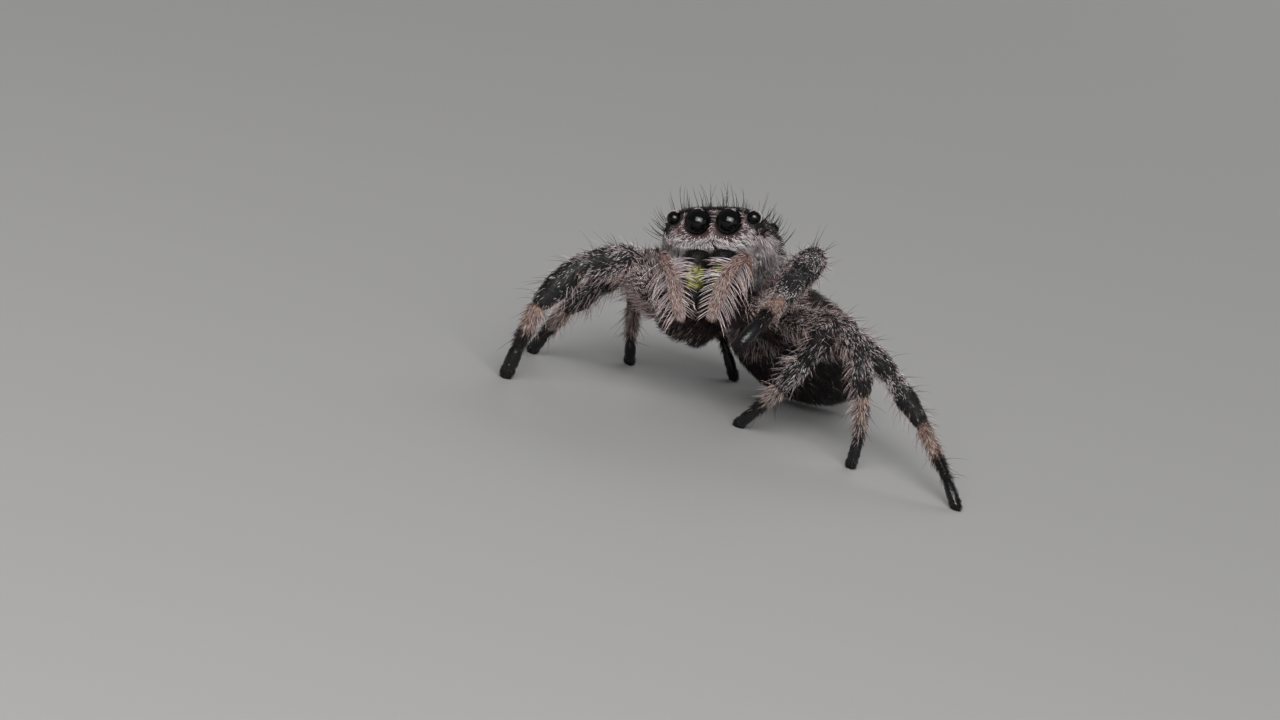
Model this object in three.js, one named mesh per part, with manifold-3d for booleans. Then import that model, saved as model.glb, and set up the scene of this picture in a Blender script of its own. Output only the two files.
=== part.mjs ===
// A young jumping spider at life size, standing with its left foreleg raised.
// Millimetres, +Z up. It faces -Y, its left is +X, and its feet stand on z = 0.
import * as THREE from 'three'
import Module from 'manifold-3d'

const wasm = await Module()
wasm.setup()

// ---------------------------------------------------------------- driving dimensions
const carapaceLength = 3.1 // from the face to the rear slope's foot
const carapaceWidth = 2.5 // at its widest, behind the last eyes
const gap = 0.05 // between pieces that touch
const socketGap = 0.03 // between an eye and its socket
const eyeHeight = 4.2 // of the point midway between the two great eyes
const bodyTurn = { yaw: -19.5, pitch: -18.5, roll: -19.5 } // of head and thorax, degrees
const limbSides = 9 // corners of a limb's section

const colours = {
  cuticle: 0x2a2422,
  greyCoat: 0x8f8782,
  darkCoat: 0x3b3735,
  paleCoat: 0xc9b3a6,
  creamCoat: 0xd9cfc2,
  redBrown: 0x4a2a22,
  eye: 0x050506,
  greenSheen: 0x6f7a34,
}

// ---------------------------------------------------------------- small helpers
const vec = (x, y, z) => new THREE.Vector3(x, y, z)
const left = vec(1, 0, 0)
const back = vec(0, 1, 0)
const up = vec(0, 0, 1)
const radians = THREE.MathUtils.degToRad
const alongLine = (a, b, t) => a.clone().lerp(b, t)

// A smooth curve through [place, value] pairs, read at any place along them.
function profile(pairs) {
  const last = pairs.length - 1
  const slope = pairs.map((_, i) => {
    const a = pairs[Math.max(i - 1, 0)]
    const b = pairs[Math.min(i + 1, last)]
    return (b[1] - a[1]) / (b[0] - a[0])
  })
  return (place) => {
    let i = 0
    while (i < last - 1 && place > pairs[i + 1][0]) i += 1
    const [x0, y0] = pairs[i]
    const [x1, y1] = pairs[i + 1]
    const h = x1 - x0
    const t = THREE.MathUtils.clamp((place - x0) / h, 0, 1)
    const rise = y0 * (1 + 2 * t) * (1 - t) ** 2 + y1 * t * t * (3 - 2 * t)
    return rise + h * (slope[i] * t * (1 - t) ** 2 - slope[i + 1] * t * t * (1 - t))
  }
}

// The closed solid through rings of equally many points, each end drawn to a point
// that is the ring's own middle unless one is given.
function loft(rings, first, last) {
  const count = rings[0].length
  const middle = (ring) => ring.reduce((sum, p) => sum.add(p), vec(0, 0, 0)).divideScalar(count)
  const points = [...rings.flat(), first ?? middle(rings[0]), last ?? middle(rings.at(-1))]
  const firstIndex = points.length - 2
  const lastIndex = points.length - 1
  const lastRing = (rings.length - 1) * count
  const triangles = []
  for (let j = 0; j < count; j += 1) {
    const next = (j + 1) % count
    for (let i = 0; i < rings.length - 1; i += 1) {
      const a = i * count + j
      const b = i * count + next
      triangles.push(a, b, b + count, a, b + count, a + count)
    }
    triangles.push(firstIndex, next, j, lastIndex, lastRing + j, lastRing + next)
  }
  return new wasm.Manifold(new wasm.Mesh({
    numProp: 3,
    vertProperties: new Float32Array(points.flatMap((p) => p.toArray())),
    triVerts: new Uint32Array(triangles),
  }))
}

// A point of an oval round a centre; a power over 2 squares the oval's corners.
function onOval(centre, firstAxis, secondAxis, first, second, angle, power = 2) {
  const bulge = (v) => Math.sign(v) * Math.abs(v) ** (2 / power)
  return centre.clone()
    .addScaledVector(firstAxis, first * bulge(Math.cos(angle)))
    .addScaledVector(secondAxis, second * bulge(Math.sin(angle)))
}

// A ring of such points, in the plane of two axes whose cross product looks ahead.
function ring(centre, firstAxis, secondAxis, first, second, sides, power = 2) {
  return Array.from({ length: sides }, (_, j) => onOval(
    centre, firstAxis, secondAxis, first, second, ((j + 0.5) / sides) * 2 * Math.PI, power))
}

// A ball or egg: rings of latitude about the y axis, with its poles closed to points.
function ball(centre, radii, sides, bands) {
  const [across, deep, tall] = radii
  const rings = []
  for (let i = 1; i < bands; i += 1) {
    const angle = (i / bands) * Math.PI
    const at = centre.clone().addScaledVector(back, -deep * Math.cos(angle))
    const size = Math.sin(angle)
    rings.push(ring(at, up, left, tall * size, across * size, sides))
  }
  const first = centre.clone().addScaledVector(back, -deep)
  const last = centre.clone().addScaledVector(back, deep)
  return loft(rings, first, last)
}

// A tube along a list of points with a radius at each, its ends rounded.
function taperedTube(points, radii, sides) {
  const last = points.length - 1
  const ahead = points.map((_, i) => points[Math.min(i + 1, last)].clone()
    .sub(points[Math.max(i - 1, 0)]).normalize())
  const side = up.clone().cross(ahead[0])
  if (side.length() < 0.2) side.copy(left)
  const rings = points.map((p, i) => {
    const acrossAxis = side.clone().addScaledVector(ahead[i], -side.dot(ahead[i])).normalize()
    const upAxis = ahead[i].clone().cross(acrossAxis)
    return ring(p, acrossAxis, upAxis, radii[i], radii[i], sides)
  })
  const start = points[0].clone().addScaledVector(ahead[0], -0.4 * radii[0])
  const end = points[last].clone().addScaledVector(ahead[last], 0.5 * radii[last])
  return loft(rings, start, end)
}

// A seeded stream of numbers from -1 to 1.
function seeded(seed) {
  let state = seed
  return () => {
    state = (state + 0x6d2b79f5) | 0
    let t = Math.imul(state ^ (state >>> 15), 1 | state)
    t = (t + Math.imul(t ^ (t >>> 7), 61 | t)) ^ t
    return ((t ^ (t >>> 14)) >>> 0) / 2147483648 - 1
  }
}

// The way a surface faces, given as a function of a share of its length and an angle.
function facing(surface, share, angle) {
  const step = 0.01
  const along = surface(share + step, angle).sub(surface(share - step, angle))
  const round = surface(share, angle + step).sub(surface(share, angle - step))
  return round.cross(along).normalize()
}

const furry = (color) => ({ color, roughness: 0.85, metalness: 0 })
const glossy = (color) => ({ color, roughness: 0.15, metalness: 0 })
const sides = [{ tag: 'R', sign: -1 }, { tag: 'L', sign: 1 }]

// ---------------------------------------------------------------- frames of the body
// Head and thorax: origin midway between the great eyes, x to the spider's left,
// y towards its rear, z up.
const spider = new THREE.Group()
const upright = vec(1, 1, 1)
const turned = ({ pitch, roll, yaw }) => new THREE.Quaternion().setFromEuler(
  new THREE.Euler(radians(pitch), radians(roll), radians(yaw), 'ZXY'))
const prosoma = new THREE.Matrix4().compose(vec(0, 0, eyeHeight), turned(bodyTurn), upright)

const worldPoint = (x, y, z) => vec(x, y, z).applyMatrix4(prosoma)
const toWorld = (solid) => solid.transform(prosoma.elements)

// ---------------------------------------------------------------- eyes
const eyes = [
  { name: 'eye_front_middle', place: [0.35, 0.06, 0], radius: 0.283, sides: 12, bands: 7 },
  { name: 'eye_front_side', place: [0.9, 0.07, 0.09], radius: 0.16, sides: 8, bands: 5 },
  { name: 'eye_rear_middle', place: [0.95, 0.8, 0.18], radius: 0.055, sides: 6, bands: 4 },
  { name: 'eye_rear_side', place: [0.98, 1.45, 0.17], radius: 0.145, sides: 8, bands: 5 },
]

const eyeBall = (eye, sign, grow = 0) => ball(
  vec(sign * eye.place[0], eye.place[1], eye.place[2]),
  Array(3).fill(eye.radius + grow), eye.sides, eye.bands)

// ---------------------------------------------------------------- carapace
// Stations along y, each value a share of the carapace's length or width.
const face = { depth: 0.05, shrink: 0.84 }
const carapaceOutline = {
  width: profile([
    [0, 0.86], [0.08, 0.93], [0.3, 0.97], [0.6, 1], [0.8, 0.9], [0.93, 0.62], [0.98, 0.45]]),
  top: profile([
    [0, 0.3], [0.05, 0.34], [0.26, 0.41], [0.5, 0.37], [0.65, 0.12], [0.84, -0.42], [0.98, -0.92]]),
  bottom: profile([[0, -0.68], [0.16, -0.96], [0.36, -1.22], [0.75, -1.26], [0.98, -1.2]]),
}
const carapaceStations = [0, 0.03, 0.1, 0.2, 0.32, 0.44, 0.54, 0.62, 0.7, 0.78, 0.86, 0.93, 0.98]
const carapaceSides = 24
const carapaceSquareness = 3.2
const cheekFullness = 0.08 // how much wider the lower half is than the upper

// A point round a section of the carapace, by the angle from its top to the left.
function carapacePoint(share, angle, grow = 0, shrink = 1) {
  const top = carapaceOutline.top(share) + grow
  const bottom = carapaceOutline.bottom(share) - grow
  const half = (carapaceWidth / 2) * carapaceOutline.width(share) + grow
  const middle = (top + bottom) / 2
  const height = ((top - bottom) / 2) * shrink
  const centre = vec(0, share * carapaceLength, middle)
  const point = onOval(centre, up, left, height, half * shrink, angle, carapaceSquareness)
  point.x *= 1 - cheekFullness * ((point.z - middle) / height)
  return point
}

function carapaceRing(share, forward, grow, shrink) {
  return Array.from({ length: carapaceSides }, (_, j) => carapacePoint(
    share, ((j + 0.5) / carapaceSides) * 2 * Math.PI, grow, shrink).addScaledVector(back, -forward))
}

function carapaceSolid(grow = 0) {
  const rings = carapaceStations.map((share) => carapaceRing(share, share === 0 ? grow : 0, grow))
  rings.unshift(carapaceRing(0, face.depth * 0.7 + grow, grow, face.shrink))
  const rearMiddle = (carapaceOutline.top(1) + carapaceOutline.bottom(1)) / 2
  const front = vec(0, -face.depth - grow, -0.2)
  return loft(rings, front, vec(0, carapaceLength + grow, rearMiddle))
}

// ---------------------------------------------------------------- coxae and their sockets
// Each row: where the coxa leaves the sternum and where it ends, in the body's frame.
// A coxa hangs lower at its end, which is its thick part.
const coxaHeight = { root: -1.68, end: -1.95 }
const coxaRadii = [0.235, 0.265, 0.3, 0.24]
const coxaRows = [
  { root: [0.42, 0.75], end: [1.1, 0.45] },
  { root: [0.45, 1.3], end: [1.25, 1.2] },
  { root: [0.45, 1.85], end: [1.25, 1.95] },
  { root: [0.4, 2.36], end: [1.05, 2.65] },
]

function coxaSolid(row, sign, grow = 0) {
  const { root, end } = coxaRows[row]
  const from = vec(sign * root[0], root[1], coxaHeight.root)
  const to = vec(sign * end[0], end[1], coxaHeight.end)
  const spread = coxaRadii.map((r) => r + grow)
  const length = from.distanceTo(to)
  const stations = [0, 0.4, 0.85, 1.02 + grow / length].map((t) => alongLine(from, to, t))
  return taperedTube(stations, spread, limbSides)
}

// ---------------------------------------------------------------- chelicerae, mouth, sternum
const chelicera = { top: -0.62, length: 1.25, half: 0.28, deep: 0.34, apart: 0.3 }

function cheliceraSolid(sign, grow = 0) {
  const shape = [
    { t: 0, wide: 0.72, deep: 0.75, y: 0.04 },
    { t: 0.12, wide: 0.95, deep: 1, y: 0.0 },
    { t: 0.4, wide: 1, deep: 1, y: -0.03 },
    { t: 0.75, wide: 0.92, deep: 0.82, y: -0.08 },
    { t: 1, wide: 0.66, deep: 0.55, y: -0.1 },
  ]
  const rings = shape.map(({ t, wide, deep, y }) => ring(
    vec(sign * (chelicera.apart + 0.04 * t), y, chelicera.top - chelicera.length * t),
    back, left,
    chelicera.deep * deep + grow, chelicera.half * wide + grow, 12, 2.4))
  const paturon = loft(rings)
  const fang = taperedTube(
    [[0.3, -0.14, -1.75], [0.28, -0.18, -1.95], [0.2, -0.16, -2.06], [0.1, -0.1, -2.1]]
      .map(([x, y, z]) => vec(sign * x, y, z)),
    [0.08, 0.07, 0.05, 0.025].map((r) => r + grow), 8)
  return paturon.add(fang)
}

function mouthSolid(grow = 0) {
  const lobe = (x, y, z, radii) => ball(vec(x, y, z), radii.map((r) => r + grow), 8, 5)
  return lobe(0.27, 0.46, -1.66, [0.19, 0.22, 0.33])
    .add(lobe(-0.27, 0.46, -1.66, [0.19, 0.22, 0.33]))
    .add(lobe(0, 0.55, -1.6, [0.2, 0.16, 0.3]))
}

const sternum = { half: 0.6, front: 0.8, rear: 2.7, top: -1.1, bottom: -1.98 }

function sternumSolid(grow = 0) {
  const middle = vec(0, (sternum.front + sternum.rear) / 2, 0)
  const long = (sternum.rear - sternum.front) / 2 + grow
  const half = sternum.half + grow
  const level = (z, size) => ring(middle.clone().setZ(z), left, back, half * size, long * size, 12)
  return loft([
    level(sternum.bottom - grow, 0.78),
    level(sternum.bottom + 0.12, 1),
    level(sternum.top, 1),
  ])
}

// ---------------------------------------------------------------- palps
// The trochanter and femur come forward beside a chelicera, the rest hangs before it.
const palpBasePath = [[0.4, 0.42, -1.55], [0.66, 0.16, -1.45], [0.9, -0.14, -1.28], [0.93, -0.4, -1.06]]
const palpBaseRadii = [0.13, 0.13, 0.14, 0.14]
const palpPath = [
  [0.93, -0.55, -0.92], [0.81, -0.68, -1.05], [0.65, -0.79, -1.27],
  [0.53, -0.86, -1.65], [0.43, -0.89, -2.03], [0.34, -0.89, -2.36],
]
const palpRadii = [0.15, 0.18, 0.19, 0.18, 0.16, 0.1]

const mirrored = (path, sign) => path.map(([x, y, z]) => vec(sign * x, y, z))
const palpBaseSolid = (sign, grow = 0) => taperedTube(
  mirrored(palpBasePath, sign), palpBaseRadii.map((r) => r + grow), limbSides)
const palpSolid = (sign) => taperedTube(mirrored(palpPath, sign), palpRadii, limbSides)

// ---------------------------------------------------------------- abdomen
const abdomen = { length: 3.8, half: 1.42, tall: 1.15, yaw: -51, pitch: -25, roll: -8 }
const pedicel = { start: [0, 2.75, -1.12], radius: 0.19, reach: 0.5 }

const abdomenAxis = back.clone().applyQuaternion(turned(abdomen))
const waist = worldPoint(0, 2.95, -1.1)
const abdomenFront = waist.clone().addScaledVector(abdomenAxis, 0.3)
const opisthosoma = new THREE.Matrix4().compose(abdomenFront, turned(abdomen), upright)
const abdomenToWorld = (solid) => solid.transform(opisthosoma.elements)

// Shares of the abdomen's half width and height at stations along its length.
const abdomenOutline = {
  width: profile([
    [0, 0.3], [0.04, 0.5], [0.16, 0.82], [0.36, 0.98], [0.55, 1], [0.75, 0.84], [0.9, 0.5], [0.97, 0.26]]),
  height: profile([
    [0, 0.32], [0.04, 0.54], [0.16, 0.86], [0.36, 1], [0.55, 0.98], [0.75, 0.78], [0.9, 0.46], [0.97, 0.24]]),
}
const abdomenStations = [0, 0.04, 0.1, 0.18, 0.28, 0.4, 0.52, 0.64, 0.75, 0.84, 0.91, 0.97]
const abdomenSides = 20

const abdomenPoint = (share, angle, grow = 0) => onOval(
  vec(0, share * abdomen.length, 0), up, left,
  abdomen.tall * abdomenOutline.height(share) + grow,
  abdomen.half * abdomenOutline.width(share) + grow, angle)

function abdomenSolid(grow = 0) {
  const rings = abdomenStations.map((share) => Array.from({ length: abdomenSides }, (_, j) => (
    abdomenPoint(share, ((j + 0.5) / abdomenSides) * 2 * Math.PI, grow))))
  const end = abdomen.length + grow
  return loft(rings, vec(0, -0.03 - grow, 0), vec(0, end, 0))
}

function spinneretsSolid() {
  const root = abdomen.length * 0.97
  const cluster = ball(vec(0, root, -0.02), [0.2, 0.14, 0.17], 8, 5)
  const cone = (x, z, reach) => taperedTube(
    [vec(x * 0.6, root, z * 0.6), vec(x, root + reach * 0.7, z), vec(x * 1.1, root + reach, z * 1.1)],
    [0.08, 0.07, 0.045], 5)
  return [[0.11, 0.08, 0.34], [-0.11, 0.08, 0.34], [0.09, -0.12, 0.28], [-0.09, -0.12, 0.28]]
    .reduce((solid, [x, z, reach]) => solid.add(cone(x, z, reach)), cluster)
}

// ---------------------------------------------------------------- legs
// Segment lengths as shares of the carapace's length: femur, patella, tibia,
// metatarsus, tarsus, for each of the four rows.
const segmentShares = [
  [0.6, 0.41, 0.38, 0.33, 0.25],
  [0.5, 0.32, 0.28, 0.27, 0.2],
  [0.54, 0.28, 0.28, 0.31, 0.21],
  [0.64, 0.34, 0.46, 0.45, 0.25],
]
// Radii of the foreleg at the start, middle and end of each segment, and how much
// slimmer the other rows are.
const foreRadii = [
  [0.24, 0.4, 0.36], [0.36, 0.38, 0.33], [0.33, 0.36, 0.26], [0.24, 0.23, 0.18], [0.165, 0.165, 0.13],
]
const rowGirth = [1, 0.87, 0.84, 0.82]
// Where each foot stands, how far the leg's plane leans from upright, and the bends
// at the patella's, tibia's and metatarsus's ends, in degrees.
const stances = [
  { tag: 'R1', row: 0, sign: -1, foot: [-3.4, -1.92, 0], lean: 9, bends: [40, 26, 3] },
  { tag: 'R2', row: 1, sign: -1, foot: [-3.07, 1.3, 0], lean: 24, bends: [5, 11, 2] },
  { tag: 'R3', row: 2, sign: -1, foot: [-0.89, 2.96, 0], lean: 31, bends: [8, 14, 3] },
  { tag: 'R4', row: 3, sign: -1, foot: [1.49, 4.38, 0], lean: 33, bends: [16, 30, 10] },
  { tag: 'L1', row: 0, sign: 1, foot: [1.2, -4.85, 2.64], lean: -26, bends: [6, 8, 26] },
  { tag: 'L2', row: 1, sign: 1, foot: [1.72, -0.16, 0], lean: -96, bends: [8, 7, 3] },
  { tag: 'L3', row: 2, sign: 1, foot: [4.33, -1.1, 0], lean: 2, bends: [36, 10, 14] },
  { tag: 'L4', row: 3, sign: 1, foot: [6.78, -2.25, 0], lean: -16, bends: [8, 8, 6] },
]

// The leg's joints lie in one plane through hip and foot. From the knee on the leg
// keeps the given bends, so hip, knee and foot make a triangle of known sides.
function legJoints({ row, sign, foot, lean, bends }) {
  const lengths = segmentShares[row].map((share) => share * carapaceLength)
  const { end } = coxaRows[row]
  const hip = worldPoint(sign * end[0], end[1], coxaHeight.end)
  const tip = vec(...foot)
  const shin = [new THREE.Vector2(0, 0)]
  let angle = 0
  lengths.slice(1).forEach((length, i) => {
    angle -= radians(i === 0 ? 0 : bends[i - 1])
    const step = new THREE.Vector2(Math.cos(angle), Math.sin(angle)).multiplyScalar(length)
    shin.push(shin.at(-1).clone().add(step))
  })
  const ahead = tip.clone().sub(hip)
  const span = ahead.length()
  ahead.normalize()
  const rising = up.clone().addScaledVector(ahead, -ahead.z).normalize()
  rising.applyAxisAngle(ahead, sign * radians(lean))
  const chord = shin.at(-1).length()
  const femur = lengths[0]
  const rise = Math.acos(
    THREE.MathUtils.clamp((femur ** 2 + span ** 2 - chord ** 2) / (2 * femur * span), -1, 1))
  const inPlane = (x, y, from) => from.clone().addScaledVector(ahead, x).addScaledVector(rising, y)
  const knee = inPlane(femur * Math.cos(rise), femur * Math.sin(rise), hip)
  const toTip = tip.clone().sub(knee)
  const turn = Math.atan2(toTip.dot(rising), toTip.dot(ahead)) - shin.at(-1).angle()
  const rest = shin.slice(1).map((p) => {
    const turned = p.clone().rotateAround(new THREE.Vector2(0, 0), turn)
    return inPlane(turned.x, turned.y, knee)
  })
  return { joints: [hip, knee, ...rest], normal: ahead.clone().cross(rising).normalize() }
}

// One length of a leg as rings along its middle line, whose corners are rounded.
// It starts and ends half a gap short of the joints it shares.
const cornerReach = 0.42

function legStations(joints, first, last) {
  const heading = joints.slice(1).map((p, i) => p.clone().sub(joints[i]).normalize())
  const lengthOf = (k) => joints[k].distanceTo(joints[k + 1])
  const reachAt = (k) => cornerReach * Math.min(1, lengthOf(k - 1), lengthOf(k))
  const corner = (k, t) => {
    const before = joints[k].clone().addScaledVector(heading[k - 1], -reachAt(k))
    const after = joints[k].clone().addScaledVector(heading[k], reachAt(k))
    const one = alongLine(before, joints[k], t)
    const two = alongLine(joints[k], after, t)
    return { at: alongLine(one, two, t), ahead: two.clone().sub(one).normalize() }
  }
  const stations = []
  for (let k = first; k <= last; k += 1) {
    const place = (t, u) => stations.push(
      { segment: k, u, at: alongLine(joints[k], joints[k + 1], t), ahead: heading[k] })
    const bend = (joint, t, u) => stations.push({ segment: k, u, ...corner(joint, t) })
    const reach = reachAt(Math.max(k, 1)) / lengthOf(k)
    if (k === 0) place(0.02, 0)
    else bend(k, k === first ? 0.5 : 0.8, 0)
    if (k > 0) bend(k, 1, reach)
    place(0.5, 0.5)
    if (k < joints.length - 2) {
      const reachEnd = reachAt(k + 1) / lengthOf(k)
      bend(k + 1, 0, 1 - reachEnd)
      bend(k + 1, k === last ? 0.5 : 0.2, 1)
    } else {
      place(0.86, 0.9)
    }
  }
  return stations
}

function limbRadius(row, segment, u) {
  const [start, middle, end] = foreRadii[segment]
  const value = u < 0.5 ? start + (middle - start) * 2 * u : middle + (end - middle) * (2 * u - 1)
  return value * rowGirth[row]
}

const legFlatness = 0.94 // front to back, as a share of top to bottom

function legPiece(leg, first, last, grow = 0) {
  const { joints, normal, row } = leg
  const stations = legStations(joints, first, last)
  const half = gap / 2 - grow
  const startsAtJoint = first > 0
  const endsAtJoint = last < joints.length - 2
  if (startsAtJoint) stations[0].at.addScaledVector(stations[0].ahead, half)
  if (endsAtJoint) stations.at(-1).at.addScaledVector(stations.at(-1).ahead, -half)
  const rings = stations.map((station) => {
    const dorsal = normal.clone().cross(station.ahead)
    const radius = limbRadius(row, station.segment, station.u) + grow
    return ring(station.at, dorsal, normal, radius, radius * legFlatness, limbSides)
  })
  if (endsAtJoint) return loft(rings)
  const tip = joints.at(-1)
  const ahead = stations.at(-1).ahead
  const end = foreRadii[4][2] * rowGirth[row]
  rings.push(ring(tip, normal.clone().cross(ahead), normal, end * 0.9, end * 0.9, limbSides))
  return loft(rings, undefined, tip.clone().addScaledVector(ahead, 0.4 * end))
}

// ---------------------------------------------------------------- pieces without locks
// Every solid is kept by its node's name, in the frame of the floor.
const pieces = new Map()
const addPiece = (name, solid, finish) => pieces.set(name, { solids: [solid], finish })

const carapaceRoom = carapaceSolid(gap)
const coxaRooms = sides.flatMap(({ sign }) => coxaRows.map((_, row) => coxaSolid(row, sign, gap)))
const allCoxaRoom = wasm.Manifold.union(coxaRooms)
const cheliceraRoom = cheliceraSolid(-1, gap).add(cheliceraSolid(1, gap))
const palpRoom = palpBaseSolid(-1, gap).add(palpBaseSolid(1, gap))

let carapace = carapaceSolid()
for (const eye of eyes) {
  for (const { tag, sign } of sides) {
    carapace = carapace.subtract(eyeBall(eye, sign, socketGap))
    addPiece(`${eye.name}_${tag}`, toWorld(eyeBall(eye, sign)), glossy(colours.eye))
  }
}
addPiece('carapace', toWorld(carapace), furry(colours.greyCoat))

const sternumBody = sternumSolid().subtract(carapaceRoom).subtract(allCoxaRoom)
addPiece('sternum', toWorld(sternumBody), furry(colours.redBrown))
const mouth = mouthSolid().subtract(sternumSolid(gap)).subtract(allCoxaRoom)
  .subtract(carapaceRoom).subtract(cheliceraRoom)
addPiece('mouthparts', toWorld(mouth), furry(colours.redBrown))

for (const { tag, sign } of sides) {
  const paturon = cheliceraSolid(sign).subtract(carapaceRoom)
  const sheen = sign < 0 ? colours.greenSheen : colours.cuticle
  addPiece(`chelicera_${tag}`, toWorld(paturon), glossy(sheen))
  const base = palpBaseSolid(sign).subtract(mouthSolid(gap)).subtract(allCoxaRoom)
    .subtract(carapaceRoom).subtract(cheliceraRoom)
  addPiece(`palp_${tag}_base`, toWorld(base), furry(colours.redBrown))
  const end = palpSolid(sign).subtract(palpBaseSolid(sign, gap)).subtract(cheliceraRoom)
  addPiece(`palp_${tag}_end`, toWorld(end), furry(colours.creamCoat))
}

const bodyRoom = toWorld(carapaceRoom.add(allCoxaRoom).add(palpRoom))
const earlierFemora = { '-1': [], 1: [] }
const legs = stances.map((stance) => ({ ...stance, ...legJoints(stance) }))
for (const leg of legs) {
  const { tag, row, sign } = leg
  const coxa = coxaSolid(row, sign).subtract(carapaceRoom)
  addPiece(`leg_${tag}_coxa`, toWorld(coxa), furry(colours.redBrown))
  const room = wasm.Manifold.union([bodyRoom, ...earlierFemora[sign]])
  earlierFemora[sign].push(legPiece(leg, 0, 0, gap))
  addPiece(`leg_${tag}_femur`, legPiece(leg, 0, 0).subtract(room), furry(colours.greyCoat))
  addPiece(`leg_${tag}_patella`, legPiece(leg, 1, 1), furry(colours.greyCoat))
  addPiece(`leg_${tag}_tibia`, legPiece(leg, 2, 2), furry(colours.darkCoat))
  const foot = legPiece(leg, 3, 4)
  const stands = leg.foot[2] === 0
  addPiece(`leg_${tag}_tarsus`, stands ? foot.trimByPlane([0, 0, 1], 0) : foot, furry(colours.paleCoat))
}

const abdomenRoom = abdomenToWorld(abdomenSolid(gap))
const waistEnd = abdomenFront.clone().addScaledVector(abdomenAxis, pedicel.reach)
const stalk = taperedTube(
  [worldPoint(...pedicel.start), waist, abdomenFront, waistEnd],
  [1, 0.9, 1, 1.1].map((s) => s * pedicel.radius), limbSides)
const thoraxRoom = toWorld(carapaceRoom.add(sternumSolid(gap)).add(allCoxaRoom))
addPiece('pedicel', stalk.subtract(thoraxRoom).subtract(abdomenRoom), furry(colours.redBrown))

const spinneretsRoom = ball(vec(0, abdomen.length * 0.97, -0.02), [0.25, 0.19, 0.22], 8, 5)
addPiece('abdomen', abdomenToWorld(abdomenSolid().subtract(spinneretsRoom)), furry(colours.darkCoat))
addPiece('spinnerets', abdomenToWorld(spinneretsSolid()), furry(colours.cuticle))

// ---------------------------------------------------------------- locks of the coat
const random = seeded(11)
const sink = 0.1 // how deep a lock is rooted
const floorRoom = 0.08 // a lock's least height over the floor
const lifts = [0, 15, 30] // degrees a lock may be raised to come clear of another piece
const goldenStep = 0.618 // spreads a short row of locks evenly round a limb

const bladeSection = { depth: 1.5, width: Math.sqrt(3) } // of a triangle in a unit circle

// A flat, tapered lock: a three-cornered blade that leaves the surface at one angle
// from the lie of the coat and has bent over to another by its tip.
function lock(root, out, lie, { length, width, thick, rise, settle, rings }, lift) {
  const along = lie.clone().addScaledVector(out, -lie.dot(out)).normalize()
  const headingAt = (t) => {
    const angle = radians(rise + lift + (settle - rise) * t)
    return along.clone().multiplyScalar(Math.cos(angle)).addScaledVector(out, Math.sin(angle))
  }
  const at = root.clone().addScaledVector(out, -sink)
  const outline = []
  for (let i = 0; i < rings; i += 1) {
    const ahead = headingAt(i / rings)
    const across = out.clone().cross(along)
    const outer = ahead.clone().cross(across)
    const size = Math.sin(Math.PI * (0.3 + 0.62 * (i / rings)))
    const depth = (thick / bladeSection.depth) * size
    outline.push(ring(at, outer.negate(), across, depth, (width / bladeSection.width) * size, 3))
    at.addScaledVector(ahead, (length + sink) / rings)
  }
  return loft(outline, undefined, at)
}

// A lock joins its piece where it keeps the gap to every other piece and the floor.
const apart = (a, b) => [0, 1, 2].some((i) => a.min[i] > b.max[i] + gap || b.min[i] > a.max[i] + gap)
const boxes = new Map()
const boxOf = (solid) => {
  if (!boxes.has(solid)) boxes.set(solid, solid.boundingBox())
  return boxes.get(solid)
}
const clearsOthers = (owner, solid) => [...pieces].every(([name, { solids }]) => (
  name === owner || solids.every((other) => (
    apart(boxOf(solid), boxOf(other)) || solid.minGap(other, gap) >= gap))))

function addLock(owner, root, out, lie, shape, place = (solid) => solid) {
  for (const lift of lifts) {
    const solid = place(lock(root, out, lie, shape, lift))
    if (boxOf(solid).min[2] > floorRoom && clearsOthers(owner, solid)) {
      pieces.get(owner).solids.push(solid)
      return
    }
  }
}

const varied = (shape) => ({ ...shape, length: shape.length * (1 + 0.15 * random()) })

// The palps: long hairs fan out on both sides and short ones lie down the front.
const palpColumns = [
  { turn: 90, count: 8, length: 0.6, width: 0.13, thick: 0.07, rise: 80, settle: 30, rings: 3 },
  { turn: -90, count: 7, length: 0.36, width: 0.12, thick: 0.07, rise: 70, settle: 25, rings: 3 },
  { turn: 25, count: 5, length: 0.42, width: 0.16, thick: 0.07, rise: 32, settle: 12, rings: 2 },
]
for (const { tag, sign } of sides) {
  const path = mirrored(palpPath, sign)
  for (const column of palpColumns) {
    for (let i = 0; i < column.count; i += 1) {
      const place = 0.5 + (4 * (i + 0.4 + 0.2 * random())) / column.count
      const k = Math.floor(place)
      const ahead = path[k + 1].clone().sub(path[k]).normalize()
      const outer = ahead.clone().cross(back).multiplyScalar(sign).normalize()
      const front = ahead.clone().cross(outer).multiplyScalar(sign)
      const turn = radians(column.turn + 8 * random())
      const out = front.multiplyScalar(Math.cos(turn)).addScaledVector(outer, Math.sin(turn))
      const radius = THREE.MathUtils.lerp(palpRadii[k], palpRadii[k + 1], place - k)
      const root = alongLine(path[k], path[k + 1], place - k).addScaledVector(out, radius)
      addLock(`palp_${tag}_end`, root, out, ahead, varied(column), toWorld)
    }
  }
}

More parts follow.
